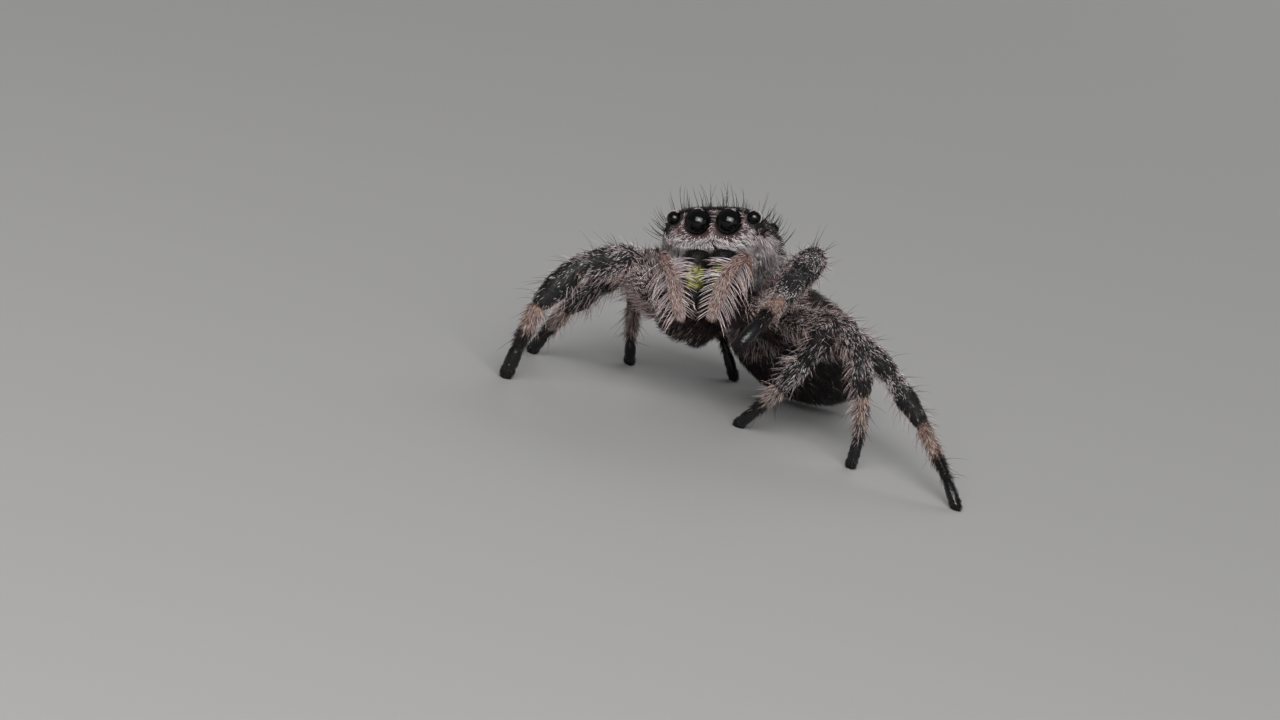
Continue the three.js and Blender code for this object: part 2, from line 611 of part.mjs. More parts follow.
// The head: bristles along the crown, a tuft beside the eyes and the hair of the cheek.
const headLocks = [
  {
    share: [0.03, 0.07], angle: [6, 58], lie: [0.2, -1, 0],
    count: 5, length: 0.62, width: 0.09, thick: 0.06, rise: 78, settle: 52, rings: 3,
  },
  {
    share: [0.07, 0.13], angle: [66, 96], lie: [0.4, -0.6, 1],
    count: 5, length: 0.6, width: 0.1, thick: 0.06, rise: 66, settle: 30, rings: 3,
  },
  {
    share: [0.03, 0.12], angle: [100, 142], lie: [0.2, 0.3, -1],
    count: 6, length: 0.42, width: 0.24, thick: 0.08, rise: 32, settle: 8, rings: 2,
  },
  {
    share: [0.2, 0.34], angle: [88, 134], lie: [0.1, 0.8, -1],
    count: 6, length: 0.46, width: 0.26, thick: 0.08, rise: 28, settle: 6, rings: 2,
  },
]
for (const { sign } of sides) {
  for (const tuft of headLocks) {
    for (let i = 0; i < tuft.count; i += 1) {
      const t = (i + 0.5 + 0.3 * random()) / tuft.count
      const share = THREE.MathUtils.lerp(...tuft.share, i % 2)
      const angle = sign * radians(THREE.MathUtils.lerp(...tuft.angle, t))
      const [x, y, z] = tuft.lie
      const root = carapacePoint(share, angle)
      const out = facing(carapacePoint, share, angle)
      addLock('carapace', root, out, vec(sign * x, y, z), varied(tuft), toWorld)
    }
  }
}

// The legs: overlapping locks along the top of each length, and a fringe under the femur.
const legLocks = [
  { piece: 'femur', segment: 0, span: [0.3, 0.74], angle: [-80, 80], count: 5, width: 0.3 },
  { piece: 'femur', segment: 0, span: [0.45, 0.72], angle: [140, 220], count: 2, width: 0.24 },
  { piece: 'patella', segment: 1, span: [0.15, 0.62], angle: [-95, 95], count: 5, width: 0.28 },
  { piece: 'tibia', segment: 2, span: [0.12, 0.6], angle: [-120, 120], count: 5, width: 0.26 },
  { piece: 'tarsus', segment: 3, span: [0.12, 0.58], angle: [-120, 120], count: 4, width: 0.18 },
]
const legLock = { length: 0.52, thick: 0.08, rise: 28, settle: 8, rings: 2 }
for (const { tag, row, joints, normal } of legs) {
  for (const { piece, segment, span, angle, count, width } of legLocks) {
    const [from, to] = joints.slice(segment, segment + 2)
    const ahead = to.clone().sub(from).normalize()
    const dorsal = normal.clone().cross(ahead)
    for (let i = 0; i < count; i += 1) {
      const u = THREE.MathUtils.lerp(...span, (i + 0.2 * random()) / (count - 1))
      const turn = radians(THREE.MathUtils.lerp(...angle, ((i + 0.5) * goldenStep) % 1))
      const out = dorsal.clone().multiplyScalar(Math.cos(turn)).addScaledVector(normal, Math.sin(turn))
      const root = alongLine(from, to, u).addScaledVector(out, limbRadius(row, segment, u) * legFlatness)
      addLock(`leg_${tag}_${piece}`, root, out, ahead, varied({ ...legLock, width }))
    }
  }
}

// The abdomen: rows of locks that lie towards its rear.
const abdomenRows = { count: 5, around: 6, span: [0.1, 0.78], angle: [-105, 105] }
const abdomenLock = { length: 0.8, width: 0.44, thick: 0.12, rise: 20, settle: 2, rings: 2 }
for (let i = 0; i < abdomenRows.count; i += 1) {
  for (let j = 0; j < abdomenRows.around; j += 1) {
    const share = THREE.MathUtils.lerp(...abdomenRows.span, (i + 0.2 * random()) / (abdomenRows.count - 1))
    const t = (j + (i % 2) / 2 + 0.25 * random()) / (abdomenRows.around - 0.5)
    const angle = radians(THREE.MathUtils.lerp(...abdomenRows.angle, t))
    const out = facing(abdomenPoint, share, angle)
    addLock('abdomen', abdomenPoint(share, angle), out, back, varied(abdomenLock), abdomenToWorld)
  }
}

// ---------------------------------------------------------------- nodes
// Each piece and its locks are fused; the largest closed surface is the node's mesh.
for (const [name, { solids, finish }] of pieces) {
  const body = wasm.Manifold.union(solids).decompose()
    .reduce((a, b) => (a.volume() > b.volume() ? a : b))
  const { vertProperties, triVerts } = body.getMesh()
  const geometry = new THREE.BufferGeometry()
  geometry.setAttribute('position', new THREE.BufferAttribute(vertProperties, 3))
  geometry.setIndex(new THREE.BufferAttribute(triVerts, 1))
  geometry.computeVertexNormals()
  const mesh = new THREE.Mesh(geometry, new THREE.MeshStandardMaterial(finish))
  mesh.name = name
  spider.add(mesh)
}

// The origin is the middle of the bounding box's floor.
const box = new THREE.Box3().setFromObject(spider, true)
const middle = box.getCenter(vec(0, 0, 0))
spider.position.set(-middle.x, -middle.y, 0)

export default spider
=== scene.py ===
import bpy
import numpy as np
from mathutils import Matrix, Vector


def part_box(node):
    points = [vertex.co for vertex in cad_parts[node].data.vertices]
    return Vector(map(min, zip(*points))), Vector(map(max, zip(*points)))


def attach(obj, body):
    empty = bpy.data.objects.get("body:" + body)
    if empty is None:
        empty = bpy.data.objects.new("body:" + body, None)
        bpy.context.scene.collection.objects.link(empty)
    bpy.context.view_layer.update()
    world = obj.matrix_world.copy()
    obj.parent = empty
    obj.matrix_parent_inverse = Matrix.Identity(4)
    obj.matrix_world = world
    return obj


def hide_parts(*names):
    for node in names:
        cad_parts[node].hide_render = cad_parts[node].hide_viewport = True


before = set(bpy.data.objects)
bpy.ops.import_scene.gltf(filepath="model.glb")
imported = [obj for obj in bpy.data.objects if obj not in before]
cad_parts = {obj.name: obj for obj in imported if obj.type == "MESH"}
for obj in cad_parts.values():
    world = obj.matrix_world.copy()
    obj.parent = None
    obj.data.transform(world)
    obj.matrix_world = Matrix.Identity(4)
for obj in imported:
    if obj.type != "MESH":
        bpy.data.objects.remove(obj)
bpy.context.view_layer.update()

# A young jumping spider, life size. Shapes are worked out in millimetres in the frame of the floor;
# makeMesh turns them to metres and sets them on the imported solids.

spider = {
    "carapaceLength": 3.1, "carapaceWidth": 2.5, "eyeHeight": 4.2,
    "turn": (-19.5, -18.5, -19.5),          # yaw, pitch and roll of head and thorax, degrees
    "abdomenTurn": (-51, -25, -8), "abdomen": (1.42, 3.8, 1.15),  # half width, length, half height
    "waist": (0, 2.95, -1.1), "waistStart": (0, 2.6, -1.12), "waistRadii": (0.17, 0.19),
    "eyesBack": 0.06,                       # how far the great eyes' middles lie behind the head's origin
    "coatDepth": 0.06,                      # how far the skin lies under the solids' surface
    "voxel": 0.045, "smoothing": (0.5, 6),  # cell of the grid that fuses the skin; strength and rounds
}


def unit(v):
    # each row divided by its own length
    return v / np.maximum(np.linalg.norm(v, axis=-1, keepdims=True), 1e-9)


def smoothCurve(pairs, x):
    # cubic through (place, value) pairs, whose slope at a pair is that of the line between its neighbours
    place, value = np.array(pairs, float).T
    last = len(place) - 1
    before, after = np.maximum(np.arange(last + 1) - 1, 0), np.minimum(np.arange(last + 1) + 1, last)
    slope = (value[after] - value[before]) / (place[after] - place[before])
    i = np.clip(np.searchsorted(place, x, "right") - 1, 0, last - 1)
    h = place[i + 1] - place[i]
    t = np.clip((x - place[i]) / h, 0, 1)
    rise = value[i] * (1 + 2 * t) * (1 - t) ** 2 + value[i + 1] * t * t * (3 - 2 * t)
    return rise + h * (slope[i] * t * (1 - t) ** 2 - slope[i + 1] * t * t * (1 - t))


def smoothStep(a, b, x):
    # 0 before a, 1 after b, and three t squared less two t cubed between
    t = np.clip((x - a) / (b - a), 0, 1)
    return t * t * (3 - 2 * t)


def turnMatrix(yaw, pitch, roll):
    # turn about y by roll, then about x by pitch, then about z by yaw
    return np.array(Matrix.Rotation(np.radians(yaw), 3, "Z") @ Matrix.Rotation(np.radians(pitch), 3, "X")
                    @ Matrix.Rotation(np.radians(roll), 3, "Y"))


bodyTurn, abdomenTurn = turnMatrix(*spider["turn"]), turnMatrix(*spider["abdomenTurn"])
up = np.array([0.0, 0.0, 1.0])


def bodyToFloor(points):
    # head frame (origin between the great eyes, x to the spider's left, y to its rear, z up), turned and
    # raised to the eyes' height
    return np.asarray(points, float) @ bodyTurn.T + up * spider["eyeHeight"]


waist = bodyToFloor(spider["waist"])
abdomenFront = waist + 0.3 * abdomenTurn[:, 1]


def abdomenToFloor(points):
    # abdomen frame (origin at its front end, y to its rear), turned and set behind the waist
    return np.asarray(points, float) @ abdomenTurn.T + abdomenFront


greatEyes = [sum(np.array(c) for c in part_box("eye_front_middle_" + side)) / 2 for side in "RL"]
# from the shapes' origin to the part's
shift = 1000 * sum(greatEyes) / 2 - bodyToFloor([0, spider["eyesBack"], 0])


def makeMesh(name, points, faces, colours=None, uv=None):
    # a piece in metres from points in mm and equally long faces; a fourth column of the colours is alpha
    mesh = bpy.data.meshes.new(name)
    corners = faces.shape[1]
    mesh.vertices.add(len(points))
    mesh.loops.add(faces.size)
    mesh.polygons.add(len(faces))
    mesh.vertices.foreach_set("co", ((points + shift) * 0.001).astype(np.float32).ravel())
    mesh.loops.foreach_set("vertex_index", faces.astype(np.int32).ravel())
    mesh.polygons.foreach_set("loop_start", np.arange(0, faces.size, corners, dtype=np.int32))
    mesh.polygons.foreach_set("use_smooth", np.ones(len(faces), bool))
    mesh.update(calc_edges=True)
    if colours is not None:
        tint = mesh.color_attributes.new("tint", "FLOAT_COLOR", "POINT")
        if colours.shape[1] == 3:
            colours = np.c_[colours, np.ones(len(colours))]
        tint.data.foreach_set("color", colours.astype(np.float32).ravel())
    if uv is not None:
        layer = mesh.uv_layers.new(name="OFBake")
        layer.data.foreach_set("uv", uv[faces.ravel()].astype(np.float32).ravel())
    piece = bpy.data.objects.new(name, mesh)
    bpy.context.scene.collection.objects.link(piece)
    return piece


def addPiece(piece, material, replaced=()):
    # gives a piece its material and its body, and hides the solids that it stands for
    piece.data.materials.append(material)
    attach(piece, "root")
    if replaced:
        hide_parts(*replaced)
    print("made", piece.name, len(piece.data.polygons), "faces")


def closedGrid(rings):
    # rings of equally many points, joined by triangles, with each end drawn to its ring's middle
    count, sides = rings.shape[:2]
    points = np.concatenate([rings.reshape(-1, 3), rings[0].mean(0)[None], rings[-1].mean(0)[None]])
    i, j = np.meshgrid(np.arange(count - 1), np.arange(sides), indexing="ij")
    a, b = i * sides + j, i * sides + (j + 1) % sides
    body = np.stack([a, b, b + sides, a, b + sides, a + sides], -1).reshape(-1, 3)
    k = np.arange(sides)
    nextK, lastRing = (k + 1) % sides, (count - 1) * sides
    first = np.stack([np.full(sides, count * sides), nextK, k], -1)
    last = np.stack([np.full(sides, count * sides + 1), lastRing + k, lastRing + nextK], -1)
    return points, np.concatenate([body, first, last])


def surfaceGrid(surface, rows, sides):
    # a surface of (share, angle) on an even grid, as a closed mesh
    share, angle = np.linspace(0.001, 0.999, rows), np.arange(sides) / sides * 2 * np.pi
    share, angle = np.meshgrid(share, angle, indexing="ij")
    return closedGrid(surface(share.ravel(), angle.ravel()).reshape(rows, sides, 3))


def joined(parts):
    # several (points, faces) meshes as one
    offsets = np.cumsum([0] + [len(points) for points, _ in parts[:-1]])
    return (np.concatenate([points for points, _ in parts]),
            np.concatenate([faces + offset for (_, faces), offset in zip(parts, offsets)]))


def linear(code):
    # an sRGB hex value turned to linear light
    v = np.array([int(code[i:i + 2], 16) for i in (1, 3, 5)]) / 255
    return np.where(v <= 0.04045, v / 12.92, ((v + 0.055) / 1.055) ** 2.4)


def addNode(tree, kind, values=None, links=None, **settings):
    # a node with its settings, the values of its inputs and the links into them
    node = tree.nodes.new(kind)
    for key, value in settings.items():
        setattr(node, key, value)
    for socket, value in (values or {}).items():
        node.inputs[socket].default_value = value
    for socket, source in (links or {}).items():
        tree.links.new(source, node.inputs[socket])
    return node


def newMaterial(name, **values):
    # a Principled surface with its fixed values on its own sockets
    material = bpy.data.materials.new(name)
    material.use_nodes = True
    shader = material.node_tree.nodes["Principled BSDF"]
    for key, value in values.items():
        socket = shader.inputs[key.replace("_", " ")]
        socket.default_value = (*linear(value), 1) if isinstance(value, str) else value
    return material, material.node_tree, shader


# noise: scale and detail; shades: noise from and to, then the tint's factor there; bump: scale of its
# cells, strength and height in metres
cuticle = {
    "chitinSkin": {"noise": (2500, 4), "shades": (0.3, 0.7, 0.7, 1.25), "bump": (30000, 0.35, 0.00001)},
    "iridescentChitin": {"noise": (9000, 3), "shades": (0.38, 0.62, 0.25, 1.25),
                         "bump": (20000, 0.6, 0.00002)},
}


def mottledChitin(name, **values):
    # each point's own tint times a factor read from noise, and a bump that rises from the middle of each cell
    material, tree, shader = newMaterial(name, **values)
    c = cuticle[name]
    place = addNode(tree, "ShaderNodeTexCoord").outputs["Object"]
    tint = addNode(tree, "ShaderNodeVertexColor", layer_name="tint")
    scale, detail = c["noise"]
    low, high, dim, bright = c["shades"]
    patches = addNode(tree, "ShaderNodeTexNoise", {"Scale": scale, "Detail": detail}, {"Vector": place})
    shade = addNode(tree, "ShaderNodeMapRange",
                    {"From Min": low, "From Max": high, "To Min": dim, "To Max": bright},
                    {"Value": patches.outputs["Fac"]})
    mixed = addNode(tree, "ShaderNodeVectorMath", None,
                    {0: tint.outputs["Color"], 1: shade.outputs["Result"]}, operation="MULTIPLY")
    scale, strength, height = c["bump"]
    cells = addNode(tree, "ShaderNodeTexVoronoi", {"Scale": scale}, {"Vector": place})
    bump = addNode(tree, "ShaderNodeBump", {"Strength": strength, "Distance": height},
                   {"Height": cells.outputs["Distance"]})
    tree.links.new(mixed.outputs["Vector"], shader.inputs["Base Color"])
    tree.links.new(bump.outputs["Normal"], shader.inputs["Normal"])
    return material, tree, shader, tint


def chitinSkin():
    # chitin: a hard dark cuticle, waxy on the feet, with a fine net of ridges about 0.03 mm apart
    material, tree, shader, tint = mottledChitin("chitinSkin", IOR=1.56, Specular_IOR_Level=0.35)
    polish = addNode(tree, "ShaderNodeMapRange", {"To Min": 0.6, "To Max": 0.26},
                     {"Value": tint.outputs["Alpha"]})
    tree.links.new(polish.outputs["Result"], shader.inputs["Roughness"])
    return material


def iridescentChitin():
    # structural green of a chelicera: thin layers of chitin, pebbled at about 0.05 mm
    return mottledChitin("iridescentChitin", Metallic=0.15, Roughness=0.55, IOR=1.45,
                         Specular_IOR_Level=0.3)[0]


def setaeMaterial():
    # setae: thin chitin hairs, a little glossy along their sides; each hair carries its own colour, with
    # painted shade towards its root
    material, tree, shader = newMaterial("setae", Roughness=0.48, IOR=1.55, Specular_IOR_Level=0.32)
    tint = addNode(tree, "ShaderNodeVertexColor", layer_name="tint")
    tree.links.new(tint.outputs["Color"], shader.inputs["Base Color"])
    return material


def cornea():
    # cornea: the smooth clear lens of an eye, black from the retina behind it, with a soft gleam
    return newMaterial("cornea", Base_Color="#030303", Roughness=0.12, IOR=1.38)[0]


def wornChitin():
    # bare black chitin of the fangs, polished by use, with redder patches as where it is thin
    material, tree, shader = newMaterial("wornChitin", Roughness=0.22, IOR=1.56, Coat_Weight=0.4)
    place = addNode(tree, "ShaderNodeTexCoord")
    thin = addNode(tree, "ShaderNodeTexNoise", {"Scale": 4000}, {"Vector": place.outputs["Object"]})
    ramp = addNode(tree, "ShaderNodeValToRGB", None, {"Fac": thin.outputs["Fac"]})
    for element, (at, code) in zip(ramp.color_ramp.elements, [(0.4, "#140D0C"), (0.7, "#3A1712")]):
        element.position, element.color = at, (*linear(code), 1)
    tree.links.new(ramp.outputs["Color"], shader.inputs["Base Color"])
    return material


materials = {"skin": chitinSkin(), "setae": setaeMaterial(), "chelicera": iridescentChitin(),
             "cornea": cornea(), "fangs": wornChitin()}

# head and thorax: the outline's half width, top and bottom by share of the length; the surface is a function
# of a share from front to rear and an angle from the top, as every surface here is
carapaceShape = {
    "width": [(0, 0.86), (0.08, 0.93), (0.3, 0.97), (0.6, 1), (0.8, 0.9), (0.93, 0.62), (0.98, 0.45)],
    "top": [(0, 0.3), (0.05, 0.34), (0.26, 0.41), (0.5, 0.37), (0.65, 0.12), (0.84, -0.42), (0.98, -0.92)],
    "bottom": [(0, -0.6), (0.06, -0.72), (0.16, -0.96), (0.36, -1.22), (0.75, -1.26), (0.98, -1.2)],
    "squareness": 3.2, "cheekFullness": 0.08, "end": 0.98,
    "face": 0.2, "rear": 0.05,              # shares of the surface that close the front and the rear
    "faceDepth": 0.09, "rearDepth": 0.05,   # how far face and rear stand out before their edges
    "eyeSeat": 0.06, "seatEdge": 0.03,      # how far back the face stops round the front eyes, and its slope
}

eyes = {
    "front_middle": {"place": (0.35, 0.06, 0), "radius": 0.3},
    "front_side": {"place": (0.9, 0.07, 0.09), "radius": 0.16},
    "rear_middle": {"place": (0.95, 0.8, 0.18), "radius": 0.055},
    "rear_side": {"place": (0.96, 1.45, 0.16), "radius": 0.135},
}


def powered(v, power):
    # keeps the sign and bends the size, which squares a circle's corners
    return np.sign(v) * np.abs(v) ** (2 / power)


def carapaceSection(length, depth):
    # middle height, half height and half width of the oval at a share of the length, moved in by a depth
    top = smoothCurve(carapaceShape["top"], length) - depth * 0.3
    bottom = smoothCurve(carapaceShape["bottom"], length) + depth
    half = spider["carapaceWidth"] / 2 * smoothCurve(carapaceShape["width"], length) - depth
    return (top + bottom) / 2, (top - bottom) / 2, half


def carapaceLocal(share, angle):
    # squared ovals whose size follows the outline; both ends swell shut
    c = carapaceShape
    along = np.clip((share - c["face"]) / (1 - c["face"] - c["rear"]), 0, 1)
    size = np.where(share < c["face"], share / c["face"], 1.0)
    rear = np.clip((share - 1 + c["rear"]) / c["rear"], 0, 1)
    size = size * np.sqrt(np.maximum(1 - rear ** 2, 0))
    middle, height, half = carapaceSection(along * c["end"], spider["coatDepth"])
    z = middle + height * size * powered(np.cos(angle), c["squareness"])
    x = half * size * powered(np.sin(angle), c["squareness"])
    x = x * (1 - c["cheekFullness"] * (z - middle) / height)
    swell = -c["faceDepth"] * np.sqrt(np.maximum(1 - size ** 6, 0))
    bulge = np.where(share < c["face"], swell, c["rearDepth"] * rear)
    y = along * c["end"] * spider["carapaceLength"] + bulge + spider["coatDepth"] * (share < c["face"])
    for eye in (eyes["front_middle"], eyes["front_side"]):     # the face falls back round the front eyes
        ex, _, ez = eye["place"]
        low, high = eye["radius"] - c["seatEdge"], eye["radius"] + c["seatEdge"]
        near = 1 - smoothStep(low, high, np.hypot(np.abs(x) - ex, z - ez))
        y = y + np.where(y < c["eyeSeat"], near * (c["eyeSeat"] - y), 0)
    return np.stack([x, y, z], -1)


def carapaceSurface(share, angle):
    # the carapace in the frame of the floor
    return bodyToFloor(carapaceLocal(share, angle))


def headLocal(points):
    # the inverse of bodyToFloor
    return (points - up * spider["eyeHeight"]) @ bodyTurn


def insideCarapace(points, margin=0.02):
    # the powers of x and z, each as a share of its half size, add up to less than 1 between front and rear
    local = headLocal(points)
    along = local[:, 1] / spider["carapaceLength"]
    end = carapaceShape["end"]
    middle, height, half = carapaceSection(np.clip(along, 0, end), spider["coatDepth"] + margin)
    p = carapaceShape["squareness"]
    inOval = np.abs(local[:, 0] / half) ** p + np.abs((local[:, 2] - middle) / height) ** p < 1
    return inOval & (along > 0) & (along < end)


abdomenShape = {
    "width": [(0, 0.3), (0.04, 0.5), (0.16, 0.82), (0.36, 0.98), (0.55, 1), (0.75, 0.84), (0.9, 0.5),
              (0.97, 0.3), (1, 0.2)],
    "height": [(0, 0.32), (0.04, 0.54), (0.16, 0.86), (0.36, 1), (0.55, 0.98), (0.75, 0.78), (0.9, 0.46),
               (0.97, 0.27), (1, 0.2)],
}


def abdomenSection(share, depth):
    # half width and half height of the oval at a share of the length, moved in by the coat and a depth
    half, _, tall = spider["abdomen"]
    return (half * smoothCurve(abdomenShape["width"], share) - spider["coatDepth"] - depth,
            tall * smoothCurve(abdomenShape["height"], share) - spider["coatDepth"] - depth)


def abdomenLocal(share, angle):
    # ovals whose half width and height follow two curves; both ends are rounded shut
    end = np.sqrt(np.clip(share / 0.02, 0, 1)) * np.sqrt(np.clip((1 - share) / 0.03, 0, 1))
    half, tall = abdomenSection(share, 0)
    length = spider["abdomen"][1]
    return np.stack([half * end * np.sin(angle), share * length, tall * end * np.cos(angle)], -1)


def abdomenSurface(share, angle):
    # the abdomen in the frame of the floor
    return abdomenToFloor(abdomenLocal(share, angle))


def insideAbdomen(points, margin=0.03):
    # the squares of x and z, each as a share of its half size, add up to less than 1 between front and rear
    local = (points - abdomenFront) @ abdomenTurn
    length = spider["abdomen"][1]
    half, tall = abdomenSection(np.clip(local[:, 1] / length, 0, 1), margin)
    x, z = local[:, 0] / half, local[:, 2] / tall
    return (x * x + z * z < 1) & (local[:, 1] > 0.02) & (local[:, 1] < length)


# pinch: share by which a joint is drawn in; cap: how far from its end a tube is full, in radii
tubeShape = {"pinch": 0.14, "pinchReach": 0.09, "cap": 0.9}


def makeTube(path, stations, radii, top=None, normal=None, flat=1.0, count=160, reach=0.16, pinches=()):
    # a path with its corners rounded by a running mean, and a radius read between stations (shares of the
    # path's length), pinched at joints and rounded at both ends; one direction keeps the frames upright
    path = np.asarray(path, float)
    steps = np.linalg.norm(np.diff(path, axis=0), axis=1)
    at = np.r_[0, np.cumsum(steps)]
    length = at[-1]
    share = np.linspace(0, 1, count)
    width = max(int(reach * 2 / length * count) | 1, 3)
    kernel = np.hanning(width + 2)[1:-1]
    kernel /= kernel.sum()

    def mean(values):
        # the running mean, with both ends carried on as if turned about their last value
        pad = width // 2
        before = 2 * values[:1] - values[pad:0:-1]
        after = 2 * values[-1:] - values[-2:-pad - 2:-1]
        return np.convolve(np.concatenate([before, values, after]), kernel, "valid")

    centre = np.stack([mean(np.interp(share * length, at, path[:, k])) for k in range(3)], -1)
    radius = mean(np.interp(share, stations, radii))
    for joint in pinches:
        near = np.exp(-((share * length - at[joint]) / tubeShape["pinchReach"]) ** 2)
        radius = radius * (1 - tubeShape["pinch"] * near)
    for gone in (share * length, (1 - share) * length):
        cap = np.clip(gone / (tubeShape["cap"] * radius), 0, 1)
        radius = radius * np.sqrt(np.maximum(1 - (1 - cap) ** 2, 0.0004))
    ahead = unit(np.gradient(centre, axis=0))
    if normal is not None:
        upper = unit(np.cross(np.asarray(normal)[None], ahead))
    else:
        reference = np.asarray(top, float)[None]
        upper = unit(reference - (reference * ahead).sum(-1, keepdims=True) * ahead)
    return {"share": share, "centre": centre, "radius": radius, "top": upper, "side": np.cross(ahead, upper),
            "flat": flat, "joints": at / length}


def tubeSurface(tube):
    # the tube's own surface: centre plus radius times (cosine of top plus sine of side)
    def surface(share, angle):
        read = [np.stack([np.interp(share, tube["share"], tube[key][:, k]) for k in range(3)], -1)
                for key in ("centre", "top", "side")]
        radius = np.interp(share, tube["share"], tube["radius"])[:, None]
        ring = np.cos(angle)[:, None] * read[1] + tube["flat"] * np.sin(angle)[:, None] * read[2]
        return read[0] + radius * ring
    return surface


def insideTube(tube, points, margin=0.03):
    # nearer to some point of the middle line than the radius there, less a margin
    every = slice(None, None, 3)
    centre, radius = tube["centre"][every], tube["radius"][every] - margin
    apart = ((points[:, None] - centre[None]) ** 2).sum(-1)
    return (apart < np.maximum(radius, 0)[None] ** 2).any(1)


# shares: femur, patella, tibia, metatarsus and tarsus as shares of the carapace's length, by pair of legs;
# radii: near the start, middle and end of each segment; coxae: inner and outer end, from above
legShape = {
    "shares": [(0.6, 0.41, 0.38, 0.33, 0.25), (0.5, 0.32, 0.28, 0.27, 0.2),
               (0.54, 0.28, 0.28, 0.31, 0.21), (0.64, 0.34, 0.46, 0.45, 0.25)],
    "radii": [(0.24, 0.4, 0.36), (0.36, 0.38, 0.33), (0.33, 0.36, 0.26), (0.24, 0.23, 0.18),
              (0.17, 0.195, 0.14)],
    "stations": (0.04, 0.5, 0.96), "girth": (1, 0.87, 0.84, 0.82), "flat": 0.94,
    "coxaHeight": (-1.68, -1.95), "coxaRadii": (0.22, 0.25, 0.28, 0.22), "coxaEnd": (0.12, 0.08),
    "coxae": [((0.42, 0.75), (1.1, 0.45)), ((0.45, 1.3), (1.25, 1.2)),
              ((0.45, 1.85), (1.25, 1.95)), ((0.4, 2.36), (1.05, 2.65))],
    "names": ("femur", "patella", "tibia", "metatarsus", "tarsus"),
}

# row, side, foot, lean of the leg's plane in degrees, and bends beyond the patella, tibia and metatarsus
stances = {
    "R1": (0, -1, (-3.4, -1.92, 0), 9, (40, 26, 3)),
    "R2": (1, -1, (-3.07, 1.3, 0), 24, (5, 11, 2)),
    "R3": (2, -1, (-0.89, 2.96, 0), 31, (8, 14, 3)),
    "R4": (3, -1, (1.49, 4.38, 0), 33, (16, 30, 10)),
    "L1": (0, 1, (1.2, -4.85, 2.64), -26, (6, 8, 26)),
    "L2": (1, 1, (1.72, -0.16, 0), -96, (8, 7, 3)),
    "L3": (2, 1, (4.33, -1.1, 0), 2, (36, 10, 14)),
    "L4": (3, 1, (6.78, -2.25, 0), -16, (8, 8, 6)),
}


def legJoints(row, side, foot, lean, bends):
    # hip, knee and foot make a triangle of known sides in a leaning plane, and the further bends are given
    lengths = np.array(legShape["shares"][row]) * spider["carapaceLength"]
    outer = legShape["coxae"][row][1]
    hip = bodyToFloor([side * outer[0], outer[1], legShape["coxaHeight"][1]])
    angles = -np.cumsum(np.radians([0, *bends]))
    shin = np.r_[[(0, 0)], np.cumsum(lengths[1:, None] * np.c_[np.cos(angles), np.sin(angles)], axis=0)]
    ahead = np.array(foot, float) - hip
    span = np.linalg.norm(ahead)
    ahead = ahead / span
    rising = unit(up - ahead * ahead[2])
    turn = np.radians(side * lean)
    rising = rising * np.cos(turn) + np.cross(ahead, rising) * np.sin(turn)
    chord = np.linalg.norm(shin[-1])
    rise = np.arccos(np.clip((lengths[0] ** 2 + span ** 2 - chord ** 2) / (2 * lengths[0] * span), -1, 1))
    knee = hip + lengths[0] * (np.cos(rise) * ahead + np.sin(rise) * rising)
    toFoot = np.array(foot) - knee
    swing = np.arctan2(toFoot @ rising, toFoot @ ahead) - np.arctan2(shin[-1, 1], shin[-1, 0])
    x = shin[1:, 0] * np.cos(swing) - shin[1:, 1] * np.sin(swing)
    y = shin[1:, 0] * np.sin(swing) + shin[1:, 1] * np.cos(swing)
    rest = knee + x[:, None] * ahead + y[:, None] * rising
    return np.vstack([hip, knee, rest]), np.cross(ahead, rising)


def makeLeg(tag):
    # a tube along the joints, whose radii are read at three stations of each segment; the foot has less coat
    row, side, foot, lean, bends = stances[tag]
    joints, normal = legJoints(row, side, foot, lean, bends)
    at = np.r_[0, np.cumsum(np.linalg.norm(np.diff(joints, axis=0), axis=1))]
    at /= at[-1]
    stations, radii = [], []
    for k, three in enumerate(legShape["radii"]):
        stations += [at[k] + f * (at[k + 1] - at[k]) for f in legShape["stations"]]
        radii += [r * legShape["girth"][row] - spider["coatDepth"] * (0.3 if k == 4 else 1) for r in three]
    return makeTube(joints, stations, radii, normal=unit(normal), flat=legShape["flat"], count=240,
                    pinches=range(1, 5))


def makeCoxa(row, side):
    # a short tube from its inner to its outer end and a little way into the femur
    (x0, y0), (x1, y1) = legShape["coxae"][row]
    z0, z1 = legShape["coxaHeight"]
    out, rise = legShape["coxaEnd"]
    path = bodyToFloor([(side * x0, y0, z0), (side * x1, y1, z1), (side * (x1 + out), y1, z1 + rise)])
    return makeTube(path, (0, 0.4, 0.8, 1), legShape["coxaRadii"], top=up, count=40)


palpShape = {
    "base": [(0.4, 0.42, -1.55), (0.66, 0.16, -1.45), (0.9, -0.14, -1.28), (0.93, -0.4, -1.06)],
    "end": [(0.93, -0.55, -0.92), (0.81, -0.68, -1.05), (0.65, -0.79, -1.27),
            (0.53, -0.86, -1.65), (0.43, -0.89, -2.03), (0.34, -0.89, -2.36)],
    "radii": (0.1, 0.1, 0.11, 0.13, 0.135, 0.14, 0.15, 0.16, 0.15, 0.1), "coat": 0.015,
}


def makePalp(side):
    # a tube through the base and the end, mirrored by side, with one radius at each point
    path = np.array(palpShape["base"] + palpShape["end"]) * (side, 1, 1)
    at = np.r_[0, np.cumsum(np.linalg.norm(np.diff(path, axis=0), axis=1))]
    radii = np.array(palpShape["radii"]) - palpShape["coat"]
    return makeTube(bodyToFloor(path), at / at[-1], radii, top=-bodyTurn[:, 1], count=120, reach=0.12)


